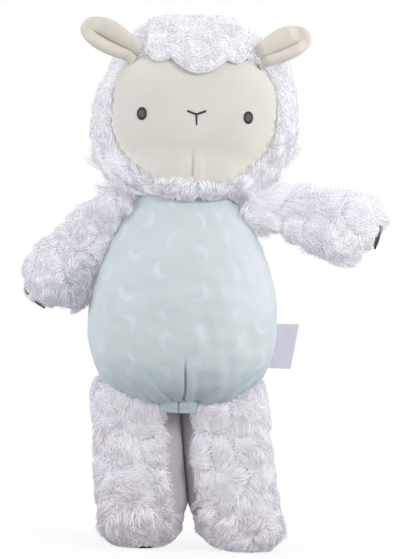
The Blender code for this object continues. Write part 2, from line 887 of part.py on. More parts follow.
def leg_surface(side, inset, angles=(0, 1)):
    start, end = angles
    widening = left_leg_widening if side > 0 else 0

    def place(column, row):
        turn = math.tau * (start + (end - start) * column)
        height, wide, deep = leg_section(row, inset, widening)
        low_share = max(0.0, 1 - height / hip_height)
        middle_x = side * hip_half_spacing + leg_lean_share * (hip_height - height) * (1 if height < hip_height else 0)
        middle_y = -toe_forward * low_share
        across = wide * math.cos(turn)
        inward = max(0.0, -side * math.cos(turn))
        middle_x -= side * inner_swell(height, widening) * inward ** inner_leg_power
        if height >= hip_height - seam_gap:
            radius = (hip_radius - inset) * super_arc(across / (hip_half_width - inset), hip_power)
            depth = math.sqrt(max(0.0, radius ** 2 - (height - hip_height) ** 2))
            depth = math.copysign(depth, math.sin(turn)) if abs(math.sin(turn)) > 0.001 else 0
        else:
            depth = deep * math.sin(turn)
        point = Vector((middle_x + across, middle_y - depth, height))
        if end - start < 1:
            tangent = Vector((-math.sin(turn), -math.cos(turn), 0))
            point += tangent * seam_gap * (0.5 - column)
        return point
    return place


def hip_socket(side, name):
    """The hollow that a hip turns in, round about the hip's left-to-right axis."""
    mesh = bmesh.new()
    segments = 28
    rows = 12
    wide = hip_half_width + socket_gap * 2
    rings = []
    for share in shares(rows)[1:-1]:
        across = -math.cos(math.pi * share)
        radius = (hip_radius * super_arc(across, hip_power) + socket_gap) / math.cos(math.pi / segments)
        ring = []
        for step in range(segments):
            turn = math.tau * step / segments
            ring.append(mesh.verts.new((
                side * hip_half_spacing + wide * across,
                radius * math.cos(turn),
                hip_height + radius * math.sin(turn),
            )))
        rings.append(ring)
    for low, high in zip(rings, rings[1:]):
        for step in range(segments):
            after = (step + 1) % segments
            mesh.faces.new((low[step], low[after], high[after], high[step]))
    for ring, end in ((rings[0], -wide), (rings[-1], wide)):
        tip = mesh.verts.new((side * hip_half_spacing + end, 0, hip_height))
        for step in range(segments):
            mesh.faces.new((ring[step], ring[(step + 1) % segments], tip))
    bmesh.ops.recalc_face_normals(mesh, faces=mesh.faces)
    return cutter(name + "_socket_guide", mesh)


def make_sole(side):
    """The pad under a foot, flat where the toy stands on it."""
    widening = left_leg_widening if side > 0 else 0
    height, wide, deep = leg_section(1, 0, widening)
    middle = Vector((side * hip_half_spacing + leg_lean_share * hip_height, -toe_forward, 0))
    mesh = bmesh.new()
    rings = []
    for level in (0, pad_thickness):
        ring = []
        for step in range(limb_columns):
            turn = math.tau * step / limb_columns
            narrow = seam_gap * 1.5 + level
            offset = Vector(((wide - narrow) * math.cos(turn), -(deep - narrow) * math.sin(turn), level))
            ring.append(mesh.verts.new(middle + offset))
        rings.append(ring)
    mesh.faces.new(rings[0])
    mesh.faces.new(rings[1])
    for step in range(limb_columns):
        after = (step + 1) % limb_columns
        mesh.faces.new((rings[0][step], rings[0][after], rings[1][after], rings[1][step]))
    bmesh.ops.recalc_face_normals(mesh, faces=mesh.faces)
    return mesh


def make_leg(side, name):
    rows = cap_rows + 1 + len(leg_station_shares) + cap_rows
    facing = 0.5 if side > 0 else 0
    inner_angles = (facing - inner_leg_share, facing + inner_leg_share)
    outer_angles = (facing + inner_leg_share, facing + 1 - inner_leg_share)
    pieces = []
    for part, angles, colour, columns in (
        ("inner", inner_angles, PALE, limb_columns // 4), ("outer", outer_angles, WHITE_PLUSH, limb_columns - 4),
    ):
        panel = skin(
            leg_surface(side, 0, angles), leg_surface(side, long_pile_thickness, angles), columns, rows,
        )
        pieces.append(new_object(f"{name}_{part}_panel", panel, colour))
    fill = long_pile_thickness + filling_gap
    filling = stuffed(leg_surface(side, fill), limb_columns - 4, rows)
    pieces.append(new_object(f"{name}_filling", filling, FILLING))
    pieces.append(new_object(f"{name}_sole", make_sole(side), CHARCOAL))
    hip = Vector((side * hip_half_spacing, 0, hip_height))
    return pieces, hip


def make_label():
    """A woven tape, folded once and sewn into the side seam by its two ends."""
    edge = []
    for share in shares(label_rows):
        height = label_low_height + label_length * share
        edge.append(body_point(side_seam_angle, 1, 0, gusset_height, height) + Vector((label_standoff, 0, 0)))
    along = (edge[-1] - edge[0]).normalized()
    outward = Vector((0, 1, 0)).cross(along)
    middle = edge[label_rows // 2]
    ply = label_ply
    space = seam_gap
    profile = (
        (0, -ply - space / 2), (label_width - ply, -ply - space / 2), (label_width, 0),
        (label_width - ply, ply + space / 2), (0, ply + space / 2), (0, space / 2),
        (label_width - ply * 2, space / 2), (label_width - ply * 2, -space / 2), (0, -space / 2),
    )
    mesh = bmesh.new()
    layers = []
    for place in edge:
        sag = outward * (place - middle).dot(outward)
        layer = []
        for reach, depth in profile:
            point = place + outward * reach + Vector((0, depth + middle.y - place.y, 0))
            layer.append(mesh.verts.new(point if reach == 0 else point - sag))
        layers.append(layer)
    mesh.faces.new(layers[0])
    mesh.faces.new(layers[-1])
    for low, high in zip(layers, layers[1:]):
        for index in range(len(profile)):
            after = (index + 1) % len(profile)
            mesh.faces.new((low[index], low[after], high[after], high[index]))
    bmesh.ops.recalc_face_normals(mesh, faces=mesh.faces)
    bmesh.ops.triangulate(mesh, faces=mesh.faces)
    label = new_object("side_label", mesh, LABEL_WHITE)
    return [label], middle


def main():
    for old in list(bpy.data.objects):
        bpy.data.objects.remove(old)
    body = make_body()
    head = make_head()
    yoke = make_yoke()
    for side, name, rest in ((1, "arm_left", left_arm_rest_angle), (-1, "arm_right", right_arm_rest_angle)):
        pieces, shoulder = make_arm(side, name)
        socket = cutter(name + "_socket_guide", ellipsoid(shoulder, shoulder_sizes(shoulder_gap)))
        for piece in body:
            if piece.name != "crotch_gusset":
                cut(piece, socket)
        ball = cutter(name + "_ball_guide", ellipsoid(shoulder, shoulder_sizes(socket_gap), False))
        flank = body_guide(name)
        cut(flank, ball)
        for piece in pieces:
            cut(piece, flank)
        shoulder_pivot = pivot(name + "_pivot", shoulder, pieces + [flank])
        shoulder_pivot.rotation_euler.y = -side * (arm_lowest_angle - rest)
    for side, name in ((1, "leg_left"), (-1, "leg_right")):
        pieces, hip = make_leg(side, name)
        socket = hip_socket(side, name)
        for piece in body:
            cut(piece, socket)
        pivot(name + "_pivot", hip, pieces)
    for side, name in ((1, "ear_left"), (-1, "ear_right")):
        pieces, root = make_ear(side, name)
        pivot(name + "_pivot", root, pieces)
    label, seam = make_label()
    pivot("side_label_pivot", seam, label)
    pivot("neck_pivot", Vector((0, 0, body_top_height)), yoke)
    pivot("head_pivot", Vector((head_offset, 0, head_middle_height)), head)
    stand = bpy.data.objects.new("stand_point", None)
    bpy.context.scene.collection.objects.link(stand)
    for piece in list(bpy.data.objects):
        if piece.parent is None and piece is not stand:
            piece.parent = stand
    stand.location.x = stance_offset


main()
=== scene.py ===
import bpy
import bmesh
import math
import numpy as np
from mathutils import Matrix, Vector
from mathutils.bvhtree import BVHTree
from mathutils.kdtree import KDTree


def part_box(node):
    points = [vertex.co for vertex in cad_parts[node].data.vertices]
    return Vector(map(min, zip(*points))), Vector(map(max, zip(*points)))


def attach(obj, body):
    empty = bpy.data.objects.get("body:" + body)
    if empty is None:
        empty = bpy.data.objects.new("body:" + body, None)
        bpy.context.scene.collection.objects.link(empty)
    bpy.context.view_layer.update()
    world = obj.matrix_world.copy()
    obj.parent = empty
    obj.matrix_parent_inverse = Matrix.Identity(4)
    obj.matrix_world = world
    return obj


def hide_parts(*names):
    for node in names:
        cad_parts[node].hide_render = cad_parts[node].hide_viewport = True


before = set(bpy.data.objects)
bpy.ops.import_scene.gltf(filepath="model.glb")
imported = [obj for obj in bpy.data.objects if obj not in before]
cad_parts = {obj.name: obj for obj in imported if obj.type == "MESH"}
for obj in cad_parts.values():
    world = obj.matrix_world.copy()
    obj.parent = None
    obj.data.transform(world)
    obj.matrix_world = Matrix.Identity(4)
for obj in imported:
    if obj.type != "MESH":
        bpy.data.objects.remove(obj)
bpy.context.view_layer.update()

# Lengths are in metres and angles in radians. Left is the toy's own left, at +X, and the face looks along -Y.
# The parts are drawn about the body's middle plane; SHIFT moves them into the shared frame.
SHIFT = np.array([-0.0093, 0.0, 0.0])
STRAND_SHARE, STRAND_GIRTH = ((1.0, 1.0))
CLOTH_THICK = 0.0010


# ---------------------------------------------------------------- arrays and meshes

def unit(v):
    return v / np.maximum(np.linalg.norm(v, axis=-1, keepdims=True), 1e-12)


def smooth(low, high, value):
    """An eased step from 0 at low to 1 at high."""
    t = np.clip((value - low) / (high - low), 0, 1)
    return t * t * (3 - 2 * t)


def super_arc(share, power):
    """The height of a superellipse over a share of its half width."""
    return np.maximum(0.0, 1 - np.abs(share) ** power) ** (1 / power)


def turns(count):
    """The angles of a full turn, in even steps."""
    return np.linspace(0, 2 * math.pi, count + 1)[:-1]


def lump(points, size, seed):
    """Smooth random swelling from -1 to 1, about one swelling to a size."""
    rng = np.random.default_rng(seed)
    total = np.zeros(points.shape[:-1])
    for _ in range(7):
        way = unit(rng.normal(size=3)) * rng.uniform(0.7, 1.4) * 2 * math.pi / size
        total += np.sin(points @ way + rng.uniform(0, 2 * math.pi))
    return total / 3.2


def new_piece(name, points, faces, material, body=None, uvs=None, picks=None, shift=True):
    """A mesh object in the shared frame that rides on a body."""
    mesh = bpy.data.meshes.new(name)
    points = np.asarray(points, dtype=float).reshape(-1, 3)
    if shift:
        points = points + SHIFT
    mesh.from_pydata(points.tolist(), [], faces if isinstance(faces, list) else faces.tolist())
    mesh.polygons.foreach_set("use_smooth", np.ones(len(mesh.polygons), dtype=bool))
    for m in material if isinstance(material, (list, tuple)) else [material]:
        mesh.materials.append(m)
    if picks is not None:
        mesh.polygons.foreach_set("material_index", np.asarray(picks, dtype=np.int32))
    if uvs is not None:
        layer = mesh.uv_layers.new(name="cloth")
        corner = np.empty(len(mesh.loops), dtype=np.int32)
        mesh.loops.foreach_get("vertex_index", corner)
        layer.data.foreach_set("uv", np.asarray(uvs, dtype=np.float32).reshape(-1, 2)[corner].ravel())
    mesh.update()
    piece = bpy.data.objects.new(name, mesh)
    bpy.context.scene.collection.objects.link(piece)
    if body:
        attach(piece, body)
    return piece


def grid_faces(rows, columns, wrap=False, base=0, flip=False):
    """Quads over a grid of points that starts at number base."""
    i = np.arange(rows - 1)[:, None]
    j = np.arange(columns if wrap else columns - 1)[None, :]
    k = (j + 1) % columns
    f = np.stack([i * columns + j, i * columns + k, (i + 1) * columns + k, (i + 1) * columns + j], -1).reshape(-1, 4)
    return (f[:, ::-1] if flip else f) + base


def grid_normals(points, wrap=False, middle=None):
    """Unit normals of a grid of points, away from the middle."""
    if wrap:
        across = np.roll(points, -1, 1) - np.roll(points, 1, 1)
    else:
        across = np.gradient(points, axis=1)
    along = np.gradient(points, axis=0)
    normals = np.cross(along, across)
    size = np.linalg.norm(normals, axis=-1, keepdims=True)
    centre = points.reshape(-1, 3).mean(0) if middle is None else np.asarray(middle)
    out = points - centre
    fallback = unit(out)
    normals = np.where(size > 1e-14, normals / np.maximum(size, 1e-14), fallback)
    if np.sum(normals * out) < 0:
        normals = -normals
    return unit(normals)


def rim_faces(edge_a, edge_b, closed=False):
    """Quads between two rows of vertex numbers."""
    count = len(edge_a)
    steps = range(count if closed else count - 1)
    return [[edge_a[s], edge_a[(s + 1) % count], edge_b[(s + 1) % count], edge_b[s]] for s in steps]


def fix_normals(piece):
    work = bmesh.new()
    work.from_mesh(piece.data)
    bmesh.ops.recalc_face_normals(work, faces=work.faces)
    work.to_mesh(piece.data)
    work.free()
    piece.data.polygons.foreach_set("use_smooth", np.ones(len(piece.data.polygons), dtype=bool))
    return piece


def sheet_faces(rows, columns):
    """Faces of a closed sheet: two grids of points, one after the other, and the raw edges between them."""
    count = rows * columns
    faces = grid_faces(rows, columns).tolist() + grid_faces(rows, columns, False, count, True).tolist()
    number = np.arange(count).reshape(rows, columns)
    for edge in (number[0], number[-1], number[:, 0], number[:, -1]):
        faces += rim_faces(edge.tolist(), (edge + count).tolist())
    return faces


def cloth_shell(name, outer, normals, thickness, material, body, uvs=None):
    """A closed cloth of even thickness behind a grid of points."""
    rows, columns, _ = outer.shape
    points = np.concatenate([outer.reshape(-1, 3), (outer - normals * thickness).reshape(-1, 3)])
    if uvs is not None:
        uvs = np.concatenate([uvs.reshape(-1, 2), uvs.reshape(-1, 2)])
    return fix_normals(new_piece(name, points, sheet_faces(rows, columns), material, body, uvs))


def disc(name, outer, inner, material, body):
    """A closed disc: rings of points in front and behind, joined at the outer edge and filled in the middle."""
    rings, columns, _ = outer.shape
    count = rings * columns
    points = np.concatenate([outer.reshape(-1, 3), inner.reshape(-1, 3), [outer[0].mean(0)], [inner[0].mean(0)]])
    faces = grid_faces(rings, columns, True).tolist() + grid_faces(rings, columns, True, count, True).tolist()
    edge = np.arange(count - columns, count)
    faces += rim_faces(edge.tolist(), (edge + count).tolist(), True)
    faces += [[2 * count, (j + 1) % columns, j] for j in range(columns)]
    faces += [[2 * count + 1, count + j, count + (j + 1) % columns] for j in range(columns)]
    return fix_normals(new_piece(name, points, faces, material, body))


def closed_form(name, rings, first, last, material, body):
    """A closed stuffed form through rings, with a point at each end."""
    rows, columns, _ = rings.shape
    points = np.concatenate([rings.reshape(-1, 3), [first], [last]])
    faces = grid_faces(rows, columns, True).tolist()
    a = rows * columns
    faces += [[a, (j + 1) % columns, j] for j in range(columns)]
    b = (rows - 1) * columns
    faces += [[a + 1, b + j, b + (j + 1) % columns] for j in range(columns)]
    return fix_normals(new_piece(name, points, faces, material, body))


def carried_over(node, name, material):
    """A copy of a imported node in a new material, and its points."""
    source = bpy.data.objects[node]
    mesh = source.data.copy()
    mesh.materials.clear()
    mesh.materials.append(material)
    copy = bpy.data.objects.new(name, mesh)
    bpy.context.scene.collection.objects.link(copy)
    copy.matrix_world = source.matrix_world
    return copy, np.array([v.co[:] for v in mesh.vertices])


def set_points(piece, points):
    piece.data.vertices.foreach_set("co", points.astype(np.float32).ravel())


# ---------------------------------------------------------------- materials

def principled(name, colour, roughness, sheen=0.0, sheen_roughness=0.4):
    material = bpy.data.materials.new(name)
    material.use_nodes = True
    shader = material.node_tree.nodes["Principled BSDF"]
    shader.inputs["Base Color"].default_value = (*colour, 1)
    shader.inputs["Roughness"].default_value = roughness
    shader.inputs["Specular IOR Level"].default_value = 0.2
    shader.inputs["Sheen Weight"].default_value = sheen
    shader.inputs["Sheen Roughness"].default_value = sheen_roughness
    return material, material.node_tree, shader


def noise(tree, source, scale, detail=3.0, roughness=0.5):
    n = tree.nodes.new("ShaderNodeTexNoise")
    n.inputs["Scale"].default_value = scale
    n.inputs["Detail"].default_value = detail
    n.inputs["Roughness"].default_value = roughness
    tree.links.new(source, n.inputs["Vector"])
    return n.outputs["Fac"]


def maths(tree, operation, a, b=0.0):
    n = tree.nodes.new("ShaderNodeMath")
    n.operation = operation
    for slot, value in enumerate((a, b)):
        if isinstance(value, (int, float)):
            n.inputs[slot].default_value = value
        else:
            tree.links.new(value, n.inputs[slot])
    return n.outputs[0]


def vector(tree, operation, a, b=None, scale=None):
    n = tree.nodes.new("ShaderNodeVectorMath")
    n.operation = operation
    for slot, value in enumerate([a, b]):
        if value is None:
            continue
        if isinstance(value, (tuple, list)):
            n.inputs[slot].default_value = value
        else:
            tree.links.new(value, n.inputs[slot])
    if scale is not None:
        n.inputs["Scale"].default_value = scale
    return n.outputs["Value"] if operation == "LENGTH" else n.outputs[0]


def ramp(tree, value, low, high, out_low=0.0, out_high=1.0):
    n = tree.nodes.new("ShaderNodeMapRange")
    n.interpolation_type = "SMOOTHSTEP"
    tree.links.new(value, n.inputs["Value"])
    for key, number in (("From Min", low), ("From Max", high), ("To Min", out_low), ("To Max", out_high)):
        n.inputs[key].default_value = number
    return n.outputs["Result"]


def mix(tree, factor, a, b):
    n = tree.nodes.new("ShaderNodeMix")
    n.data_type = "RGBA"
    for slot, value in (("Factor", factor), ("A", a), ("B", b)):
        target = [i for i in n.inputs if i.name == slot and i.type == ("VALUE" if slot == "Factor" else "RGBA")][0]
        if isinstance(value, (tuple, list)):
            target.default_value = (*value, 1)
        else:
            tree.links.new(value, target)
    return [o for o in n.outputs if o.type == "RGBA"][0]


def place_of(tree, kind="Object"):
    return tree.nodes.new("ShaderNodeTexCoord").outputs[kind]


def bump(tree, shader, height, strength, distance):
    n = tree.nodes.new("ShaderNodeBump")
    n.inputs["Strength"].default_value = strength
    n.inputs["Distance"].default_value = distance
    tree.links.new(height, n.inputs["Height"])
    tree.links.new(n.outputs["Normal"], shader.inputs["Normal"])


def parts_of(tree, source):
    """The X, Y and Z outputs of a vector."""
    n = tree.nodes.new("ShaderNodeSeparateXYZ")
    tree.links.new(source, n.inputs[0])
    return n.outputs


def set_glow(shader, strength):
    """The glow stands for the light that scatters on through a deep white pile."""
    shader.inputs["Emission Color"].default_value = (0.95, 0.94, 1.0, 1)
    shader.inputs["Emission Strength"].default_value = strength


def fur_material(name, colour, glow):
    """Pale fibres."""
    material, tree, shader = principled(name, colour, 0.85, 0.12, 0.5)
    set_glow(shader, glow)
    here = place_of(tree)
    tree.links.new(ramp(tree, noise(tree, here, 420.0), 0.3, 0.7, 0.78, 0.95), shader.inputs["Roughness"])
    return material


def tones(name, *shades):
    """The four materials of a pile, bright to deep; each shade is a colour and its glow."""
    return [fur_material(f"pile_{name}_{tone}", *shade)
            for tone, shade in zip(("bright", "mid", "shade", "deep"), shades)]


def cloth_material(name, colour, second, patch_scale, grain_scale, grain_depth, roughness=0.9, sheen=0.25,
                   foot=None, glow=0.0):
    """A napped cloth: two close tints in soft patches, and a fine grain.

    A foot is two heights and the colour below them: painted light on the face, painted shade on the leg backing."""
    material, tree, shader = principled(name, colour, roughness, sheen, 0.4)
    if glow:
        set_glow(shader, glow)
    here = place_of(tree)
    patches = ramp(tree, noise(tree, here, patch_scale, 4.0, 0.6), 0.32, 0.68)
    base = mix(tree, patches, colour, second)
    if foot:
        base = mix(tree, ramp(tree, parts_of(tree, here)["Z"], foot[0], foot[1], 1.0, 0.0), base, foot[2])
    tree.links.new(base, shader.inputs["Base Color"])
    grain = noise(tree, here, grain_scale, 2.0, 0.7)
    tree.links.new(ramp(tree, grain, 0.25, 0.75, roughness - 0.08, min(1.0, roughness + 0.06)),
                   shader.inputs["Roughness"])
    bump(tree, shader, grain, 0.55, grain_depth)
    return material


def knit_heights(tree, cloth, pitch):
    """Columns of knitted stitches along V: ribs, and the slanted legs of each stitch."""
    apart = parts_of(tree, cloth)
    u = maths(tree, "MULTIPLY", apart["X"], 2 * math.pi / pitch)
    v = maths(tree, "MULTIPLY", apart["Y"], 2 * math.pi / (pitch * 0.8))
    rib = maths(tree, "ABSOLUTE", maths(tree, "SINE", maths(tree, "MULTIPLY", u, 0.5)))
    leg = maths(tree, "SINE", maths(tree, "ADD", v, maths(tree, "MULTIPLY", rib, 3.0)))
    return maths(tree, "ADD", rib, maths(tree, "MULTIPLY", leg, 0.35))


def crescents(tree, cloth, pitch):
    """How strongly each place on the cloth is printed: tossed crescents, one to a cell of the pitch."""
    row = parts_of(tree, vector(tree, "SCALE", cloth, scale=1 / pitch))
    odd = maths(tree, "MULTIPLY", maths(tree, "FLOORED_MODULO", maths(tree, "FLOOR", row["X"]), 2.0), 0.5)
    lift = tree.nodes.new("ShaderNodeCombineXYZ")
    tree.links.new(row["X"], lift.inputs["X"])
    tree.links.new(maths(tree, "ADD", row["Y"], odd), lift.inputs["Y"])
    cell = vector(tree, "FLOOR", lift.outputs[0])
    chance = tree.nodes.new("ShaderNodeTexWhiteNoise")
    chance.noise_dimensions = "2D"
    tree.links.new(cell, chance.inputs["Vector"])
    local = vector(tree, "SUBTRACT", vector(tree, "SUBTRACT", lift.outputs[0], cell), (0.5, 0.5, 0.0))
    jitter = vector(tree, "SCALE", vector(tree, "SUBTRACT", chance.outputs["Color"], (0.5, 0.5, 0.5)), scale=0.30)
    local = vector(tree, "MULTIPLY", vector(tree, "ADD", local, jitter), (1.0, 1.0, 0.0))
    turn = tree.nodes.new("ShaderNodeVectorRotate")
    turn.rotation_type = "Z_AXIS"
    tree.links.new(local, turn.inputs["Vector"])
    tree.links.new(maths(tree, "MULTIPLY", chance.outputs["Value"], 2 * math.pi), turn.inputs["Angle"])
    whole = vector(tree, "LENGTH", turn.outputs[0])
    bite = vector(tree, "LENGTH", vector(tree, "SUBTRACT", turn.outputs[0], (0.165, 0.02, 0.0)))
    moon = maths(tree, "MULTIPLY", ramp(tree, whole, 0.215, 0.290, 1.0, 0.0), ramp(tree, bite, 0.195, 0.270))
    moon = maths(tree, "MULTIPLY", moon, ramp(tree, noise(tree, place_of(tree), 1400.0, 2.0), 0.2, 0.6, 0.7, 1.0))
    faint = maths(tree, "ADD", maths(tree, "MULTIPLY", chance.outputs["Value"], 0.45), 0.50)
    return maths(tree, "MULTIPLY", moon, faint)


def belly_painted_light(tree, base):
    """Painted light and shade on the belly: painted light at its upper left and its right edge, painted shade
    underneath.
    """
    place = parts_of(tree, place_of(tree))
    # painted light towards the upper left and the right edge, then painted shade low down
    painted_light_share = maths(tree, "MULTIPLY", ramp(tree, place["X"], 0.002, 0.036, 0.0, 0.45),
                  ramp(tree, place["Z"], 0.120, 0.145))
    base = mix(tree, painted_light_share, base, (0.67, 0.70, 0.735))
    base = mix(tree, ramp(tree, place["X"], -0.064, -0.046, 0.55, 0.0), base, (0.68, 0.745, 0.75))
    return mix(tree, ramp(tree, place["Z"], 0.084, 0.118, 0.50, 0.0), base, (0.34, 0.42, 0.46))


CRESCENT_PITCH, KNIT_PITCH = 0.0212, 0.0011


def jersey_material(name, ground, second, moons=None):
    """Smooth fine knit with faint streaks along the stitch columns, and tossed crescents if a colour is given."""
    material, tree, shader = principled(name, ground, 0.78, 0.15, 0.35)
    cloth = place_of(tree, "UV")
    stretch = tree.nodes.new("ShaderNodeMapping")
    stretch.inputs["Scale"].default_value = (900.0, 60.0, 1.0)
    tree.links.new(cloth, stretch.inputs["Vector"])
    streaks = ramp(tree, noise(tree, stretch.outputs[0], 1.0, 3.0), 0.3, 0.7)
    patches = ramp(tree, noise(tree, place_of(tree), 38.0, 3.0), 0.3, 0.7)
    base = mix(tree, maths(tree, "ADD", maths(tree, "MULTIPLY", streaks, 0.35),
                           maths(tree, "MULTIPLY", patches, 0.5)), ground, second)
    if moons:
        # the printed belly also gets its painted light and shade
        base = belly_painted_light(tree, mix(tree, crescents(tree, cloth, CRESCENT_PITCH), base, moons))
    tree.links.new(base, shader.inputs["Base Color"])
    knit = knit_heights(tree, cloth, KNIT_PITCH)
    tree.links.new(ramp(tree, knit, 0.0, 1.3, 0.86, 0.74), shader.inputs["Roughness"])
    bump(tree, shader, knit, 0.35, 0.00012)
    return material


def satin_material(name, rim, centre, middle, reach):
    """Close parallel threads; the middle of the patch is painted lighter, a painted highlight."""
    material, tree, shader = principled(name, rim, 0.55, 0.1)
    here = place_of(tree)
    offset = vector(tree, "MULTIPLY", vector(tree, "SUBTRACT", here, tuple(middle)), (1 / reach[0], 0.0, 1 / reach[1]))
    far = vector(tree, "LENGTH", offset)
    streak = noise(tree, vector(tree, "MULTIPLY", here, (600.0, 600.0, 4200.0)), 1.0, 2.0)
    painted_highlight = maths(tree, "MULTIPLY", ramp(tree, far, 0.25, 0.85, 1.0, 0.0), ramp(tree, streak, 0.3, 0.65, 0.35, 1.0))
    tree.links.new(mix(tree, painted_highlight, rim, centre), shader.inputs["Base Color"])
    bump(tree, shader, streak, 0.6, 0.0002)
    return material


def woven_material(name, colour, second):
    """A fine plain weave."""
    material, tree, shader = principled(name, colour, 0.7, 0.1)
    cloth = place_of(tree, "UV")
    apart = parts_of(tree, cloth)
    warp = maths(tree, "SINE", maths(tree, "MULTIPLY", apart["X"], 2 * math.pi / 0.0006))
    weft = maths(tree, "SINE", maths(tree, "MULTIPLY", apart["Y"], 2 * math.pi / 0.0005))
    weave = maths(tree, "MULTIPLY", warp, weft)
    patches = noise(tree, place_of(tree), 160.0)
    tint = ramp(tree, maths(tree, "ADD", maths(tree, "MULTIPLY", weave, 0.2), patches), 0.2, 0.9)
    tree.links.new(mix(tree, tint, colour, second), shader.inputs["Base Color"])
    tree.links.new(ramp(tree, weave, -1.0, 1.0, 0.78, 0.64), shader.inputs["Roughness"])
    bump(tree, shader, weave, 0.5, 0.00012)
    return material


# Painted light in the coats: each glow is a painted glow, and the deep tint with its low glow is painted shade.
# The arm coat is a lit copy with more glow, for the left arm; the shaded coat and the darker leg coat are painted
# shade.
# The backing's glow is painted light in the gaps between the strands.
HOOD_FUR = tones("hood", ((0.88, 0.875, 0.895), 0.21), ((0.86, 0.85, 0.88), 0.20), ((0.83, 0.82, 0.86), 0.18),
                 ((0.68, 0.685, 0.745), 0.08))
LIT_ARM_FUR = tones("arm", ((0.80, 0.795, 0.815), 0.265), ((0.775, 0.77, 0.80), 0.245), ((0.74, 0.73, 0.78), 0.21),
                ((0.67, 0.69, 0.75), 0.13))
SHADED_ARM_FUR = tones("shaded", ((0.80, 0.795, 0.82), 0.20), ((0.78, 0.775, 0.81), 0.185),
                       ((0.75, 0.745, 0.79), 0.165), ((0.68, 0.70, 0.76), 0.11))
LEG_FUR = tones("leg", ((0.765, 0.745, 0.775), 0.21), ((0.74, 0.715, 0.75), 0.20), ((0.705, 0.675, 0.715), 0.18),
                ((0.62, 0.56, 0.605), 0.10))
FORE_FUR = tones("fore", ((0.87, 0.865, 0.885), 0.19), ((0.85, 0.845, 0.87), 0.185), ((0.83, 0.825, 0.86), 0.175),
                 ((0.79, 0.785, 0.83), 0.15))
BACKING = cloth_material("pile_backing", (0.74, 0.73, 0.77), (0.82, 0.81, 0.85), 90.0, 1500.0, 0.0005, 0.95, 0.3,
                         glow=0.10)
# painted shade: the leg backing darkens below its foot heights, towards the floor
LEG_BACKING = cloth_material("leg_backing", (0.88, 0.87, 0.89), (0.92, 0.91, 0.93), 90.0, 1500.0, 0.0005, 0.95, 0.2,
                             (0.052, 0.078, (0.63, 0.60, 0.64)))
# painted light: the face cloth grows lighter and warmer towards the chin, against the shade under the face
VELOUR = cloth_material("velour_cream", (0.720, 0.692, 0.635), (0.690, 0.662, 0.602), 42.0, 1700.0, 0.00022, 0.92, 0.35,
                        (0.204, 0.258, (0.97, 0.905, 0.82)))
EAR_CLOTH = cloth_material("velour_ear", (0.69, 0.643, 0.573), (0.655, 0.608, 0.538), 60.0, 1700.0, 0.00022, 0.92, 0.35)
MINT = jersey_material("jersey_mint", (0.572, 0.645, 0.648), (0.612, 0.674, 0.690), (0.690, 0.705, 0.775))
# painted shade: the gusset's plain mint, darkened because it sits back between the legs
SHADED_MINT_PLAIN = jersey_material("jersey_mint_plain_shaded", (0.37, 0.445, 0.46), (0.43, 0.50, 0.515))
# the inner strips' own pinkish grey, darkened with painted shade between the legs
SHADED_PALE = jersey_material("jersey_pale_shaded", (0.47, 0.435, 0.475), (0.52, 0.49, 0.52))
THREAD = cloth_material("thread_charcoal", (0.030, 0.028, 0.030), (0.050, 0.047, 0.049), 900.0, 5000.0, 0.0002,
                        0.6, 0.1)
FELT = cloth_material("felt_charcoal", (0.055, 0.055, 0.062), (0.085, 0.085, 0.092), 260.0, 2600.0, 0.0004, 0.95, 0.2)
TAPE = woven_material("tape_white", (0.70, 0.69, 0.80), (0.76, 0.75, 0.84))
CORD = cloth_material("cord_white", (0.86, 0.86, 0.89), (0.80, 0.80, 0.84), 700.0, 4000.0, 0.0002, 0.8, 0.2)
FILLING = cloth_material("filling_white", (0.80, 0.80, 0.80), (0.72, 0.72, 0.72), 90.0, 900.0, 0.001, 0.95, 0.2)


# ---------------------------------------------------------------- the body's form

BODY_MID, BODY_UP, BODY_DOWN = 0.132, 0.085, 0.054
BODY_HALF, BODY_DEEP = 0.0535, 0.040
BODY_TOP, BODY_FOOT = 0.200, 0.083
UPPER_POWER, LOWER_POWER = 1.7, 2.6
SIDE_SEAM = math.radians(97.0)


def body_swell(height, inset):
    """The body's width at each height as a share of its widest, and the height as a share of its reach."""
    up = height >= BODY_MID
    share = np.clip((height - BODY_MID) / (np.where(up, BODY_UP, BODY_DOWN) - inset), -1, 1)
    return np.where(up, super_arc(share, UPPER_POWER), super_arc(share, LOWER_POWER)), share


def body_points(angle, height, inset=0.0):
    """Points on the body's form; the angle is 0 in front and grows to the left."""
    swell, _ = body_swell(height, inset)
    return np.stack([(BODY_HALF - inset) * swell * np.sin(angle),
                     -(BODY_DEEP - inset) * swell * np.cos(angle), height + 0 * angle], -1)


def inside_body(points, margin):
    """True where a point is inside the body's form less the margin."""
    height = points[..., 2]
    swell, share = body_swell(height, margin)
    swell = np.maximum(swell, 1e-6)
    across = points[..., 0] / ((BODY_HALF - margin) * swell)
    deep = points[..., 1] / ((BODY_DEEP - margin) * swell)
    return (across ** 2 + deep ** 2 < 1) & (height < BODY_TOP - margin) & (np.abs(share) < 1)


def body_rows(count, low=BODY_FOOT, high=BODY_TOP):
    """Heights, closer together near the foot, where the form turns under."""
    turn = np.linspace(math.asin((low - BODY_MID) / BODY_DOWN), math.asin((high - BODY_MID) / BODY_UP), count)
    return BODY_MID + np.where(turn >= 0, BODY_UP, BODY_DOWN) * np.sin(turn)


def dart_x(h):
    """Where the belly's centre fold runs, from its top at 0.111 down to the gusset."""
    return np.interp(h, [0.083, 0.087, 0.092, 0.100, 0.112], [0.0026, 0.0032, 0.0036, 0.0032, 0.0026])


# Folds from the centre dart out along the leg seams: side, lean, distance from the dart, height
LEG_FOLDS = ((1, 0.85, 0.012, 0.0007), (1, 1.25, 0.022, 0.0007), (-1, 0.8, 0.013, 0.0006), (-1, 1.3, 0.024, 0.0006),
             (1, 1.6, 0.033, 0.0005), (-1, 1.7, 0.034, 0.0005))
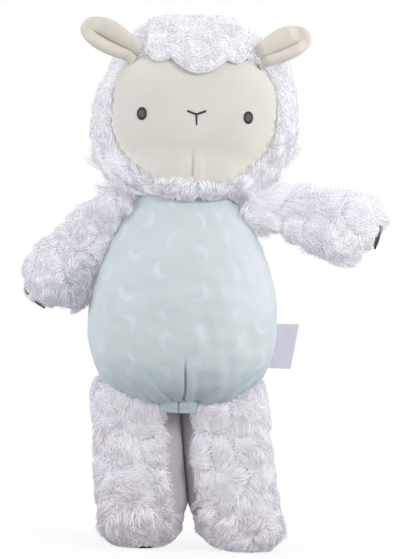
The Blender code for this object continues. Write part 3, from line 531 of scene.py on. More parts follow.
# Dents where the side tape draws the cloth in: x, z, half width, half height, depth
TAPE_DENTS = ((0.0155, 0.123, 0.0040, 0.0070, 0.0008), (0.0390, 0.119, 0.0050, 0.0085, 0.0013),
              (0.0275, 0.106, 0.0032, 0.0075, 0.0006))


def make_belly():
    """The printed front panel, from side seam to side seam."""
    rows, columns = ((150, 268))
    share = np.linspace(-1, 1, columns)
    angle = SIDE_SEAM * (0.55 * share + 0.45 * share ** 3)
    height = body_rows(rows)
    H, A = np.meshgrid(height, angle, indexing="ij")
    base = body_points(A, H)
    normals = grid_normals(base, middle=(0, 0, 0.14))
    x, z = base[..., 0], base[..., 2]
    # soft stuffing, and the folds by the centre dart
    swell = 0.0005 * lump(base, 0.030, 5) + 0.00022 * lump(base, 0.012, 6)
    off = x - dart_x(z)
    depth = smooth(0.113, 0.099, z)
    fold = -0.0023 * np.exp(-(off / 0.0007) ** 2) * depth
    fold += 0.0008 * np.exp(-((off + 0.0030) / 0.0024) ** 2) * depth
    fold += 0.0011 * np.exp(-((off - 0.0032) / 0.0026) ** 2) * depth
    low = smooth(0.112, 0.088, z)
    for side, lean, place, size in LEG_FOLDS:
        line = side * (x - 0.005) - place - lean * (z - 0.088)
        fold += (size * np.exp(-((line - 0.0022) / 0.0022) ** 2) - size * np.exp(-(line / 0.0013) ** 2)) * low
    for cx, cz, wide, tall, size in TAPE_DENTS:
        fold -= size * np.exp(-((x - cx) / wide) ** 2 - ((z - cz) / tall) ** 2)
        fold += 0.5 * size * np.exp(-((x - cx + 0.008) / wide) ** 2 - ((z - cz) / tall) ** 2)
    # flat towards the side seams, and drawn in at them
    to_seam = SIDE_SEAM - np.abs(A)
    drawn_in = 0.0006 * (1 - smooth(0.0, 0.05, to_seam))
    outer = base + normals * ((swell + fold) * smooth(0.0, 0.10, to_seam) - drawn_in)[..., None]
    # the lower edge arches over the gusset
    outer[..., 2] += 0.0030 * np.exp(-((x - 0.0028) / 0.0115) ** 4) * smooth(0.096, 0.083, z)
    girth = np.concatenate([[0], np.cumsum(np.linalg.norm(np.diff(base[rows // 2], axis=0), axis=1))])
    girth -= np.interp(0, angle, girth)
    uvs = np.stack([np.broadcast_to(girth, H.shape), H * 1.08], -1)
    belly = cloth_shell("belly_cloth", outer, normals, CLOTH_THICK, MINT, "torso", uvs=uvs)
    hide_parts("belly_panel")


def make_back():
    """The plush back, in two halves that meet in a centre seam."""
    rows, columns = ((75, 120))
    for side, name in ((1, "left"), (-1, "right")):
        angle = side * np.linspace(SIDE_SEAM + 0.004, math.pi - 0.004, columns)
        H, A = np.meshgrid(body_rows(rows), angle, indexing="ij")
        base = body_points(A, H, 0.0012)
        normals = grid_normals(base, middle=(0, 0, 0.14))
        dip = -0.0016 * np.exp(-((np.abs(A) - math.pi) / 0.035) ** 2)
        dip = dip - 0.0010 * np.exp(-((np.abs(A) - SIDE_SEAM) / 0.03) ** 2)
        outer = base + normals * (dip + 0.0006 * lump(base, 0.028, 8))[..., None]
        back = cloth_shell(f"back_{name}_cloth", outer, normals, CLOTH_THICK, BACKING, "torso")
        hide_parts(f"back_panel_{name}")
        keep = np.abs(A) > SIDE_SEAM + 0.03
        lengths = 0.0018 + 0.0026 * smooth(0.02, 0.30, np.abs(A) - SIDE_SEAM)
        fur(f"back_{name}_pile", outer, normals, keep, 9000, "torso", length=lengths, drape=(0, 0.2, -1), lean=0.8,
            clump=0.0045, pull=0.5, curl=0.10, thick=0.00028, rings=3, seed=20 + side, wrap=False)


def make_filling():
    """The body's filling, a closed form inside the cloths."""
    H, A = np.meshgrid(body_rows(60, 0.0845, 0.1985), turns(96), indexing="ij")
    rings = body_points(A, H, 0.0031)
    stuffing = closed_form("torso_stuffing", rings, (0, 0, 0.0835), (0, 0, 0.1988), FILLING, "torso")
    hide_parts("torso_filling")


def star_form(nodes, origins, directions, reach=0.09, blur=1):
    """A grid of points where rays from outside, aimed at the origins, first meet the nodes' surfaces."""
    points, faces = [], []
    for name in nodes:
        source = bpy.data.objects[name]
        start = len(points)
        points += [source.matrix_world @ v.co for v in source.data.vertices]
        faces += [[start + i for i in p.vertices] for p in source.data.polygons]
    tree = BVHTree.FromPolygons(points, faces)
    rows, columns, _ = directions.shape
    radius = np.zeros((rows, columns))
    for r in range(rows):
        for c in range(columns):
            origin = Vector(origins[r])
            way = Vector(directions[r, c])
            hit = tree.ray_cast(origin + way * reach, -way, reach)
            radius[r, c] = (hit[0] - origin).length if hit[0] is not None else np.nan
    good = ~np.isnan(radius)
    for r in range(rows):
        if good[r].any():
            radius[r, ~good[r]] = np.interp(np.flatnonzero(~good[r]), np.flatnonzero(good[r]), radius[r, good[r]],
                                            period=columns)
        else:
            radius[r] = radius[r - 1] if r else 0.001
    for _ in range(blur):
        radius = (np.roll(radius, 1, 1) + radius * 2 + np.roll(radius, -1, 1)) / 4
        inner = radius.copy()
        inner[1:-1] = (radius[:-2] + radius[1:-1] * 2 + radius[2:]) / 4
        radius = inner
    return radius


TINT_SHARES = (0.45, 0.38, 0.17)


def fur(name, surface, normals, keep, count, body, length, drape, lean, clump, pull, curl, thick, rings, seed,
        wrap=True, avoid=None, flat=0.0, coats=HOOD_FUR, painted_shade=None):
    """Strands of pile over the kept part of a grid of points: closed, tapering, three-sided, bent together in locks.

    The length and the chance of the deepest tint (painted shade) are given over the grid, the drape (where a strand
    falls to) over the grid or once. The lean bends a strand over, clump is a lock's width, pull and curl shape the
    locks, flat lowers the whole pile, and avoid says which strands to leave out."""
    rng = np.random.default_rng(seed)
    rows, columns, _ = surface.shape
    count = int(count * STRAND_SHARE)
    thick = thick * STRAND_GIRTH
    a = surface[:-1]
    right = np.roll(surface, -1, 1)[:-1] if wrap else np.concatenate([surface[:-1, 1:], surface[:-1, -1:]], 1)
    area = np.linalg.norm(np.cross(surface[1:] - a, right - a), axis=-1) * keep[:-1]
    cumulative = np.cumsum(area.ravel())
    picks = np.searchsorted(cumulative, (np.arange(count) + rng.uniform(size=count)) / count * cumulative[-1])
    picks = np.minimum(picks, area.size - 1)
    i, j = picks // columns, picks % columns
    k = (j + 1) % columns if wrap else np.minimum(j + 1, columns - 1)
    s, t = rng.uniform(size=(count, 1)), rng.uniform(size=(count, 1))

    def at(values):
        values = values[..., None] if values.ndim == 2 else values
        here, beside = (values[i, c] * (1 - s) + values[i + 1, c] * s for c in (j, k))
        return here * (1 - t) + beside * t

    roots, out = at(surface), unit(at(normals))
    long = at(length)[:, 0]
    fall = at(drape) if isinstance(drape, np.ndarray) else np.broadcast_to(np.array(drape, float), (count, 3))
    deep = at(painted_shade)[:, 0] if painted_shade is not None else np.zeros(count)
    # locks: each has a middle and a direction of its own
    lock_count = max(6, int(cumulative[-1] / clump ** 2))
    chosen = rng.choice(count, size=min(lock_count, count), replace=False)
    tree = KDTree(len(chosen))
    for n, c in enumerate(chosen):
        tree.insert(roots[c], n)
    tree.balance()
    lock = np.array([tree.find(p)[1] for p in roots + rng.normal(size=roots.shape) * clump * 0.12])
    swirl = rng.normal(size=(len(chosen), 3))
    steer = unit(fall[chosen] + swirl * 0.75)
    phase = rng.uniform(0, 2 * math.pi, len(chosen))
    spin = rng.uniform(2.2, 4.2, len(chosen)) * rng.choice([-1, 1], len(chosen))
    stretch = rng.uniform(0.82, 1.12, len(chosen))
    steps = np.linspace(0, 1, rings + 1)

    def path(root, outward, steer_to, size, turn, rate, wobble):
        across = steer_to - outward * np.sum(steer_to * outward, -1, keepdims=True)
        across = unit(across)
        side = np.cross(outward, across)
        line = []
        for step in steps:
            rise = step * (1 - flat) - 0.28 * lean * step ** 2
            along = lean * (0.25 * step + 0.75 * step ** 2)
            bow = curl * step * np.stack([np.cos(turn + rate * step), np.sin(turn + rate * step)], -1)
            line.append(root + size[:, None] * (outward * rise + across * along + across * bow[:, :1]
                                                + side * bow[:, 1:] + wobble * step))
        return np.stack(line, 1)

    own = path(roots, out, unit(steer[lock] + rng.normal(size=(count, 3)) * 0.22), long * stretch[lock]
               * rng.uniform(0.85, 1.12, count), phase[lock] + rng.normal(size=count) * 0.35, spin[lock],
               rng.normal(size=(count, 3)) * 0.06)
    heads = path(roots[chosen], out[chosen], steer, long[chosen] * stretch, phase, spin, np.zeros((len(chosen), 3)))
    grip = (pull * steps ** 1.3)[None, :, None] * rng.uniform(0.7, 1.0, count)[:, None, None]
    near = heads[lock] + (roots - roots[chosen][lock])[:, None, :] * 0.25
    lines = own * (1 - grip) + near * grip
    lines[..., 2] = np.maximum(lines[..., 2], 0.0008)
    if avoid is not None:
        good = ~avoid(lines)
        lines, lock, out, deep = lines[good], lock[good], out[good], deep[good]
    count = len(lines)
    # the tubes
    tangents = unit(np.gradient(lines, axis=1))
    guide = unit(rng.normal(size=(count, 1, 3)))
    side_a = unit(np.cross(tangents, guide))
    side_b = np.cross(tangents, side_a)
    girth = thick * (1 - 0.72 * steps ** 1.5) * rng.uniform(0.75, 1.2, count)[:, None]
    body_rings = []
    for corner in range(3):
        turn = corner * 2 * math.pi / 3
        body_rings.append(lines + (side_a * math.cos(turn) + side_b * math.sin(turn)) * girth[..., None])
    tube = np.stack(body_rings, 2)[:, :-1]  # strand, ring, corner
    tip = lines[:, -1:, :]
    points = np.concatenate([tube.reshape(count, rings * 3, 3), tip], 1).reshape(-1, 3)
    one = strand_faces(rings)
    faces = (one[None] + np.arange(count)[:, None, None] * (rings * 3 + 1)).reshape(-1, 3)
    tone = np.clip((rng.uniform(size=len(chosen)) * 0.55)[lock] + rng.uniform(size=count) * 0.45, 0, 0.999)
    pick = np.searchsorted(np.cumsum(TINT_SHARES), tone * sum(TINT_SHARES))
    # painted shade: a strand takes the deepest tint where the chance of painted shade is high
    pick = np.where(rng.uniform(size=count) * 0.6 + rng.uniform(size=len(chosen))[lock] * 0.4 < deep, 3,
                    np.minimum(pick, 2))
    return new_piece(name, points, faces, coats, body, picks=np.repeat(pick, len(one)))


def strand_faces(rings):
    """Triangles of one strand: three sides, the tip and the root."""
    faces = []
    for r in range(rings - 1):
        for c in range(3):
            d = (c + 1) % 3
            faces.append([r * 3 + c, r * 3 + d, (r + 1) * 3 + d])
            faces.append([r * 3 + c, (r + 1) * 3 + d, (r + 1) * 3 + c])
    last = (rings - 1) * 3
    for c in range(3):
        faces.append([last + c, last + (c + 1) % 3, rings * 3])
    faces.append([0, 2, 1])
    return np.array(faces)


def make_gusset():
    """The band between the legs: two cloths meeting in a centre seam, with a rolled lower edge."""
    low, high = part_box("crotch_gusset")
    middle = 0.5 * (low[0] + high[0]) - SHIFT[0]
    half = 0.5 * (high[0] - low[0]) - 0.0030
    across = np.linspace(-1, 1, 80)
    down = np.linspace(0, 1, 26)
    D, A = np.meshgrid(down, across, indexing="ij")
    x = middle + half * A * (1 - 0.12 * D)
    z = 0.0878 - 0.0095 * D + 0.0012 * D * A ** 4
    body = body_points(0 * A, np.full_like(D, 0.0842))
    front = body[..., 1] + 0.0016
    y = front + 0.0016 * A ** 2 + 0.0042 * A ** 6 + 0.0006 * np.cos(D * math.pi) - 0.0010 * np.sin(math.pi * D)
    y += 0.0013 * np.exp(-(A * half / 0.0006) ** 2)
    y -= 0.0007 * np.exp(-((D - 0.96) / 0.09) ** 2)
    outer = np.stack([x, y, z], -1)
    normals = grid_normals(outer, middle=(middle, 0.0, 0.082))
    uvs = np.stack([x, z], -1)
    gusset = cloth_shell("gusset_band", outer, normals, 0.0011, SHADED_MINT_PLAIN, "torso", uvs=uvs)
    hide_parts("crotch_gusset")


# ---------------------------------------------------------------- the head's form

HEAD_X, HEAD_Z = 0.0024, 0.2515
HEAD_HALF, HEAD_RADIUS, HEAD_CROWN = 0.0565, 0.048, 0.0505
HEAD_POWER = 2.6


def head_girth(x, inset=0.0):
    """The head's radius about its left-to-right axis, for x from its middle."""
    return (HEAD_RADIUS - inset) * super_arc(x / (HEAD_HALF - inset), HEAD_POWER)


def head_points(across, turn, inset=0.0):
    """Points on the head's form; the turn is 0 in front and grows upwards."""
    x = (HEAD_HALF - inset) * np.sin(across * math.pi / 2)
    radius = head_girth(x, inset)
    stretch = (HEAD_CROWN - inset) / (HEAD_RADIUS - inset)
    rise = radius * np.sin(turn) * np.where(np.sin(turn) > 0, stretch, 1)
    return np.stack([HEAD_X + x, -radius * np.cos(turn), HEAD_Z + rise], -1)


def head_front(x, z, inset=0.0):
    """The y of the head's front at x and z."""
    rise = z - HEAD_Z
    rise = np.where(rise > 0, rise / ((HEAD_CROWN - inset) / (HEAD_RADIUS - inset)), rise)
    return -np.sqrt(np.maximum(0.0, head_girth(x - HEAD_X, inset) ** 2 - rise ** 2))


FACE_X, FACE_Z = HEAD_X - 0.0005, 0.2445
FACE_HALF, FACE_RISE, FACE_DROP = 0.0482, 0.038, 0.0355
FACE_INSET, FACE_THICK = 0.0012, 0.0012
CHIN_DROP, CHIN_OUT = 0.0046, 0.0020
EYES_MIDDLE, EYES_UP, EYES_APART = 0.0028, 0.2456, 0.0592
EYE_HALF, EYE_TALL = 0.0028, 0.0037
NOSE_X, NOSE_Z = 0.0036, 0.2464


def face_edge(t):
    """The face's seam, a rounded square, as x and z for each turn."""
    up = np.sin(t) > 0
    grow = 1 + np.where(up, 0.13, 0.05) * np.sin(2 * t) ** 2
    return (FACE_X + FACE_HALF * np.cos(t) * grow, FACE_Z + np.where(up, FACE_RISE, FACE_DROP) * np.sin(t) * grow)


def face_share(x, z):
    """0 at the face's middle, 1 on its seam."""
    t = np.arctan2((z - FACE_Z) / np.where(z > FACE_Z, FACE_RISE, FACE_DROP), (x - FACE_X) / FACE_HALF)
    ex, ez = face_edge(t)
    reach = np.hypot(ex - FACE_X, ez - FACE_Z)
    return np.hypot(x - FACE_X, z - FACE_Z) / reach


def make_head():
    """The hood over the head's filling: an inset for the face, a seam over the crown, and the pile."""
    rows, columns = ((200, 220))
    across = np.linspace(-0.995, 0.995, rows)
    turn = turns(columns)
    C, T = np.meshgrid(across, turn, indexing="ij")
    base = head_points(C, T)
    normals = grid_normals(base, True, (HEAD_X, 0, HEAD_Z))
    share = np.where(base[..., 1] < 0, face_share(base[..., 0], base[..., 2]), 9.0)
    rebate = 1 - smooth(0.985, 1.05, share)
    seam = np.exp(-((base[..., 0] - HEAD_X) / 0.0011) ** 2) * (share > 1.0) * smooth(-0.01, 0.01, base[..., 1])
    root = 0.0012 + 0.0024 * rebate
    depth = -root - 0.0009 * seam + 0.0007 * lump(base, 0.030, 3) * (1 - rebate)
    corner = smooth(-0.026, -0.044, base[..., 0] - HEAD_X) * smooth(0.252, 0.275, base[..., 2])
    corner = corner * (1 - 0.6 * smooth(0.279, 0.290, base[..., 2]))
    depth = depth - 0.0050 * corner * (share > 1.0)
    rings = base + normals * depth[..., None]
    first = head_points(np.array(-1.0), np.array(0.0), 0.0014)
    last = head_points(np.array(1.0), np.array(0.0), 0.0014)
    head = closed_form("head_form", rings, first, last, BACKING, "head")
    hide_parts("hood_left", "hood_right", "head_filling")

    # the pile: short over the crown and the sides, long below, and fuller at the right of the chin
    x, y, z = base[..., 0] - HEAD_X, base[..., 1], base[..., 2]
    hood = share > 1.0
    rim = 0.45 + 0.55 * smooth(1.0, 1.30, share)
    side_room = smooth(0.030, 0.052, np.abs(x))
    below = smooth(0.238, 0.216, z)
    crown = smooth(0.285, 0.296, z)
    upper = smooth(0.250, 0.276, z)
    lengths = 0.0040 + 0.0018 * side_room * (1 - upper) + 0.0068 * below * rim - 0.0020 * crown
    lengths = lengths + 0.0026 * side_room * smooth(0.250, 0.236, z) * smooth(0.214, 0.226, z)
    lengths = lengths + 0.0030 * smooth(-0.030, -0.042, x) * smooth(0.228, 0.220, z)
    lengths = lengths + np.where(x > 0, 0.0020, 0.0034) * smooth(0.026, 0.040, np.abs(x)) * smooth(0.226, 0.214, z)
    lengths = lengths + 0.0042 * smooth(0.030, 0.038, np.abs(x)) * smooth(0.220, 0.210, z) - 0.0012 * corner
    # painted shade: the deepest tint low on the hood under the chin, less on the toy's left, a little over the crown
    painted_shade = 0.32 * smooth(0.226, 0.206, z) * (1 - 0.9 * smooth(0.012, 0.036, x)) + 0.08 * crown
    steep = 1 - 0.75 * smooth(0.240, 0.226, z)
    fall = np.stack([0.55 * np.sign(x) * (1 - crown) * steep, 0.25 * np.sign(y) + 0 * x, -1 + 0 * x], -1)
    fall = fall + np.array([0, 0.9, 0]) * crown[..., None]
    clear = lambda lines: inside_body(lines[:, 1:], 0.0).any(1) | near_ears(lines)
    for side, name in ((1, "left"), (-1, "right")):
        half = hood & (x * side > -0.0015) & (z > 0.236)
        fur(f"hood_{name}_pile", rings, normals, half, 12000, "head", lengths, fall, lean=0.90, clump=0.0046,
            pull=0.35, curl=0.08, thick=0.00029, rings=3, seed=30 + side, avoid=clear, flat=0.22, painted_shade=painted_shade)
        half = hood & (x * side > -0.0020) & (z <= 0.238)
        fur(f"hood_{name}_long_pile", rings, normals, half, 8500, "head", lengths, fall, lean=0.95, clump=0.0068,
            pull=0.62, curl=0.16, thick=0.00028, rings=4, seed=34 + side, avoid=clear, flat=0.24, painted_shade=painted_shade)


def near_ears(lines):
    """Strands that would stand in an ear's cloth."""
    hit = np.zeros(len(lines), dtype=bool)
    for side in (1, -1):
        root, along, up, forward = EARS[side]
        local = lines - root
        a = local @ along / EAR_LONG
        b = local @ up
        c = local @ forward
        width = np.where(b > 0, 0.0056 + 0.0050 * np.clip(a / 0.55, 0, 1), 0.0072 + 0.0030 * np.clip(a * 2, 0, 1))
        inside = (a > 0.09) & (a < 1.05) & (np.abs(b) < width) & (c > -0.0024) & (c < 0.012)
        hit |= inside[:, 1:].any(1)
    return hit


def make_face():
    rings, columns = ((110, 240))
    r = np.linspace(0.004, 1.0, rings) ** 0.92
    t = turns(columns)
    R, T = np.meshgrid(r, t, indexing="ij")
    ex, ez = face_edge(T)
    x = FACE_X + (ex - FACE_X) * R
    z = FACE_Z + (ez - FACE_Z) * R
    base = face_surface(x, z, 0.0)
    normals = grid_normals(base, True, (HEAD_X, 0.05, HEAD_Z))
    edge = 1 - smooth(0.90, 1.0, R)
    puff = -0.0016 * (1 - edge)
    puff += 0.0010 * np.exp(-(((x - HEAD_X) / 0.030) ** 2 + ((z - 0.232) / 0.016) ** 2))
    puff += 0.0004 * lump(base, 0.034, 12)
    # the chin's centre dart
    off = x - (0.0026 + 0.02 * (0.224 - z))
    low = smooth(0.2285, 0.2200, z)
    puff += (-0.0013 * np.exp(-(off / 0.0013) ** 2) + 0.0009 * np.exp(-((off - 0.0034) / 0.0026) ** 2)
             + 0.0008 * np.exp(-((off + 0.0034) / 0.0026) ** 2)) * low
    # small puckers along the lower seam
    puff += 0.00035 * np.sin(T * 46) * smooth(0.86, 0.97, R) * (np.sin(T) < 0.1)
    outer = base + normals * puff[..., None]
    inner = base - normals * FACE_THICK + normals * np.minimum(puff, 0)[..., None]
    chin = smooth(0.2290, 0.2090, z) * smooth(0.036, 0.018, np.abs(x - HEAD_X))
    for layer in (outer, inner):
        layer[..., 2] -= CHIN_DROP * chin
        layer[..., 1] -= CHIN_OUT * chin
    face = disc("face_cloth", outer, inner, VELOUR, "head")
    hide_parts("face_panel")


def face_surface(x, z, lift):
    """Points on the face, lifted out from it."""
    return np.stack([x, head_front(x, z, FACE_INSET) - lift, z + 0 * x], -1)


def make_eyes():
    """Raised ovals of slanting satin stitch."""
    for side, name in ((1, "left"), (-1, "right")):
        cx, cz = EYES_MIDDLE + side * EYES_APART / 2, EYES_UP
        R, T = np.meshgrid(np.linspace(0.02, 1.0, 22), turns(64), indexing="ij")
        x = cx + EYE_HALF * R * np.cos(T)
        z = cz + EYE_TALL * R * np.sin(T)
        thread = 0.00009 * np.sin((x * 0.35 + z) * 2 * math.pi / 0.00045) * (1 - smooth(0.9, 1.0, R))
        lift = 0.0010 * np.sqrt(np.maximum(0.0, 1 - R ** 3.2)) + thread
        middle = np.array([cx, 0, cz]) + SHIFT
        # a painted highlight lightens the middle of each eye
        satin = satin_material(f"satin_{name}", (0.035, 0.033, 0.036), (0.17, 0.17, 0.18), middle, (0.0030, EYE_TALL))
        eye = disc(f"eye_{name}_satin", face_surface(x, z, lift), face_surface(x, z, -0.0004), satin, "head")
        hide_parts(f"eye_{name}")


def stitches(line, spacing, length, radius, slant, lift):
    """Short overlapping thread capsules along a line on the face."""
    line = np.asarray(line)
    legs = np.linalg.norm(np.diff(line, axis=0), axis=1)
    total = legs.sum()
    marks = np.arange(spacing / 2, total, spacing)
    run = np.concatenate([[0], np.cumsum(legs)])
    points, faces = [], []
    for mark in marks:
        centre = np.array([np.interp(mark, run, line[:, 0]), np.interp(mark, run, line[:, 1])])
        ahead = np.array([np.interp(min(total, mark + 1e-4), run, line[:, k]) for k in (0, 1)])
        behind = np.array([np.interp(max(0, mark - 1e-4), run, line[:, k]) for k in (0, 1)])
        way = unit(ahead - behind)
        turned = np.array([way[0] * math.cos(slant) - way[1] * math.sin(slant),
                           way[0] * math.sin(slant) + way[1] * math.cos(slant)])
        start = len(points)
        rows, columns = 9, 10
        for r in range(rows):
            share = -1 + 2 * r / (rows - 1)
            girth = radius * math.sqrt(max(0.0, 1 - abs(share) ** 2.6)) + 0.00002
            spot = centre + turned * share * length / 2
            dip = 0.0003 * share ** 2
            middle = face_surface(np.array(spot[0]), np.array(spot[1]), lift - dip)
            for c in range(columns):
                turn = 2 * math.pi * c / columns
                flat = np.array([-turned[1], turned[0]]) * math.cos(turn) * girth
                points.append([middle[0] + flat[0], middle[1] - math.sin(turn) * girth * 0.8, middle[2] + flat[1]])
        faces += (grid_faces(rows, columns, True) + start).tolist()
        faces.append([start + c for c in range(columns)][::-1])
        faces.append([start + (rows - 1) * columns + c for c in range(columns)])
    return points, faces


def make_nose():
    """Two slanting lines and one that runs down between them."""
    x, z = NOSE_X, NOSE_Z
    points, faces = [], []
    for line in (((x - 0.0051, z + 0.0017), (x - 0.0028, z + 0.0008), (x, z - 0.0001)),
                 ((x + 0.0051, z + 0.0019), (x + 0.0028, z + 0.0010), (x, z - 0.0001)),
                 ((x, z + 0.0002), (x + 0.0001, z - 0.0030), (x + 0.0003, z - 0.0062))):
        more, sides = stitches(line, spacing=0.00078, length=0.00150, radius=0.00052, slant=0.62, lift=0.0004)
        faces += [[len(points) + i for i in f] for f in sides]
        points += more
    nose = fix_normals(new_piece("nose_stitches", points, faces, THREAD, "head"))
    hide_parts("nose_stitch")


FORE_HALF, FORE_END, FORE_FALL = 0.028, 0.281, 0.012


def forelock_low(side):
    """The scalloped lower edge, as a height for each share across."""
    lobes = ((-1.0, -0.5, 0.25), (-0.5, 0.62, 0.62), (0.62, 1.0, 0.25))
    z = FORE_END - FORE_FALL * 0.38 * super_arc(side, 2)
    for start, end, depth in lobes:
        inside = (side >= start) & (side <= end)
        share = np.clip((side - start) / (end - start), 0, 1)
        z = z - np.where(inside, FORE_FALL * depth * np.sin(math.pi * share), 0)
    return z


def make_forelock():
    """The scalloped panel over the brow, its short pile and its cord."""
    rows, columns = ((90, 200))
    side = np.linspace(-1, 1, columns)
    x = HEAD_X + FORE_HALF * side
    low = forelock_low(side)
    radius = head_girth(x - HEAD_X)
    stretch = HEAD_CROWN / HEAD_RADIUS
    start = np.arcsin(np.clip((low - HEAD_Z) / (radius * stretch), -1, 1))
    end = math.pi / 2 + 0.09
    S = np.linspace(0, 1, rows)[:, None]
    T = start[None, :] * (1 - S) + end * S
    X = np.broadcast_to(x, T.shape)
    base = np.stack([X, -radius * np.cos(T), HEAD_Z + radius * stretch * np.sin(T)], -1)
    normals = grid_normals(base, middle=(HEAD_X, 0, HEAD_Z))
    rounding = super_arc(1 - np.clip(S * 14, 0, 1), 2) * super_arc(np.clip((np.abs(side) - 0.84) / 0.16, 0, 1), 2)
    rounding = rounding * (1 - smooth(0.62, 1.0, S))
    lift = 0.0004 + 0.0016 * rounding + 0.0004 * lump(base, 0.016, 9) * rounding - 0.0010 * smooth(0.70, 1.0, S)
    outer = base + normals * lift[..., None]
    lock = cloth_shell("forelock_cloth", outer, normals, 0.0016, BACKING, "head")
    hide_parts("forelock")
    near = smooth(0.30, 0.0, S) + 0 * T
    lengths = (0.0025 + 0.0009 * near) * (1 - 0.40 * smooth(0.70, 1.0, np.abs(side)) * smooth(0.2, 0.5, S))
    rear = smooth(0.74, 1.0, S) + 0 * T
    apart = np.sign(side) * smooth(0.78, 1.0, np.abs(side)) * smooth(0.25, 0.55, S)
    fall = np.stack([0.9 * apart, -0.55 + 1.25 * rear, -0.8 + 0 * T], -1)
    keep = (S > 0.0) & (np.abs(side)[None, :] < 0.99)
    # painted shade: more of the deepest tint towards the crown
    fur("forelock_pile", outer, normals, keep, 12000, "head", lengths, fall, lean=1.00, clump=0.0050, pull=0.30,
        curl=0.10, thick=0.00032, rings=3, seed=41, wrap=False, flat=0.36, coats=FORE_FUR,
        avoid=lambda lines: near_ears(lines) | low_tips(lines), painted_shade=0.18 + 0.15 * S + 0 * T)
    # the fine cord on the scalloped edge
    path = np.stack([x, -np.sqrt(np.maximum(0, radius ** 2 - ((low - HEAD_Z) / stretch) ** 2)), low], -1)
    out = unit(path - np.array([HEAD_X, 0, HEAD_Z]))
    path = path + out * 0.0013 + np.array([0, 0, 0.0001])
    way = unit(np.gradient(path, axis=0))
    a = unit(np.cross(way, out))
    b = np.cross(a, way)
    rings = []
    twist = np.cumsum(np.concatenate([[0], np.linalg.norm(np.diff(path, axis=0), axis=1)])) * 2 * math.pi / 0.0016
    for c in range(12):
        turn = 2 * math.pi * c / 12
        bulge = 0.00055 * (1 + 0.16 * np.cos(2 * turn + twist))
        rings.append(path + (a * math.cos(turn) + b * math.sin(turn)) * bulge[:, None])
    rings = np.stack(rings, 1)
    cord = closed_form("forelock_cord", rings, path[0] - way[0] * 0.0004, path[-1] + way[-1] * 0.0004, CORD, "head")
    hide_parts("forelock_piping")


def low_tips(lines):
    """Strands of the forelock that would hang past its cord."""
    side = np.clip((lines[:, -1, 0] - HEAD_X) / FORE_HALF, -1, 1)
    return (lines[:, -1, 2] < forelock_low(side) - 0.0002) & (lines[:, -1, 1] < 0)


# ---------------------------------------------------------------- ears

EAR_LONG = 0.0345
# Each ear's root, and the ways along it, up across it and forward out of it
EARS = {
    1: [np.array(v) for v in ((0.0377, -0.0338, 0.2810), (0.8721, 0.2174, 0.4384), (-0.4886, 0.3387, 0.8041),
                              (0.0264, -0.9154, 0.4016))],
    -1: [np.array(v) for v in ((-0.0329, -0.0338, 0.2810), (-0.8721, 0.2174, 0.4384), (0.4888, 0.3434, 0.8020),
                               (-0.0239, -0.9137, 0.4057))],
}


def make_ears():
    """Each ear is a leaf of two puffy cloths, folded lengthwise so that both long edges roll forward."""
    for side, name in ((1, "left"), (-1, "right")):
        root, along, up, forward = EARS[side]
        rows, columns = ((90, 110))
        reach = np.linspace(-0.10, 1.0, rows)[:, None]
        row = np.maximum(reach, 0.0)
        column = np.linspace(-1, 1, columns)[None, :]
        swell = np.sin(math.pi / 2 * np.minimum(1.0, row / 0.48))
        tip = super_arc(np.maximum(0.0, row - 0.48) / 0.54, 2.2)
        high = 0.0060 + 0.0039 * np.sin(math.pi / 2 * np.minimum(1.0, row / 0.60))
        half = np.where(column > 0, high, 0.0074 + 0.0024 * swell) * tip
        across = column * half
        crease = smooth(0.86, 0.64, row)
        # two rolls with the crease between them; the upper roll is the broader one
        middle, length = (-0.24, 0.0306) if side > 0 else (-0.14, 0.0328)
        upper = np.clip((column - middle) / (1 - middle), 0, 1)
        lower = np.clip((middle - column) / (1 + middle), 0, 1)
        roll = np.where(column > middle, np.sqrt(np.maximum(0, 1 - (2 * upper - 1) ** 2)) * 0.0056,
                        np.sqrt(np.maximum(0, 1 - (2 * lower - 1) ** 2)) * 0.0044)
        plain = 0.0026 * super_arc(column, 2.2)
        front = (roll * crease + plain * (1 - crease)) * np.sqrt(np.maximum(0, tip)) * (0.55 + 0.45 * swell)
        fold = 0.003 * (1 - np.abs(column)) * np.sin(math.pi * np.minimum(1, 1.1 * row)) ** 0.7
        back = 0.0022 * super_arc(column, 2.5) * np.sqrt(np.maximum(0, tip))
        droop = math.radians(1.0)
        along, up = (along * math.cos(droop) - up * math.sin(droop), up * math.cos(droop) + along * math.sin(droop))
        sunk = 0.0042 * (1 - smooth(-0.10, 0.10, reach))
        centre = root + along * (length * reach)[..., None] + up * across[..., None]
        mid = centre - forward * (fold + sunk)[..., None]
        gap = forward * 0.0001
        for part, cloth_name, top, bottom in (
                ("lining", "in", mid + forward * front[..., None] + gap, mid + gap),
                ("outer", "out", mid - gap, mid - forward * back[..., None] - gap)):
            points = np.concatenate([top.reshape(-1, 3), bottom.reshape(-1, 3)])
            faces = sheet_faces(rows, columns)
            ear = fix_normals(new_piece(f"ear_{name}_{cloth_name}", points, faces, EAR_CLOTH, f"ear_{name}"))
            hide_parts(f"ear_{name}_{part}")


# ---------------------------------------------------------------- limbs

def limb_rays(axis, side_dirs, along, cap_rows):
    """Origins and directions: rounded fans at both ends and level rings between."""
    origins, tilts = [], []
    for step in range(cap_rows):
        origins.append(axis[0])
        tilts.append(-math.pi / 2 * (1 - (step + 0.35) / cap_rows))
    for point in axis:
        origins.append(point)
        tilts.append(0.0)
    for step in range(cap_rows):
        origins.append(axis[-1])
        tilts.append(math.pi / 2 * (step + 0.65) / cap_rows)
    origins = np.array(origins)
    tilts = np.array(tilts)[:, None, None]
    directions = side_dirs[None] * np.cos(tilts) + along[None, None] * np.sin(tilts)
    return origins, unit(directions)


ARM_LONG = 0.0735
ARM = {1: (np.array([0.0375, 0, 0.194]), math.radians(9.0)), -1: (np.array([-0.0375, 0, 0.194]), math.radians(49.5))}


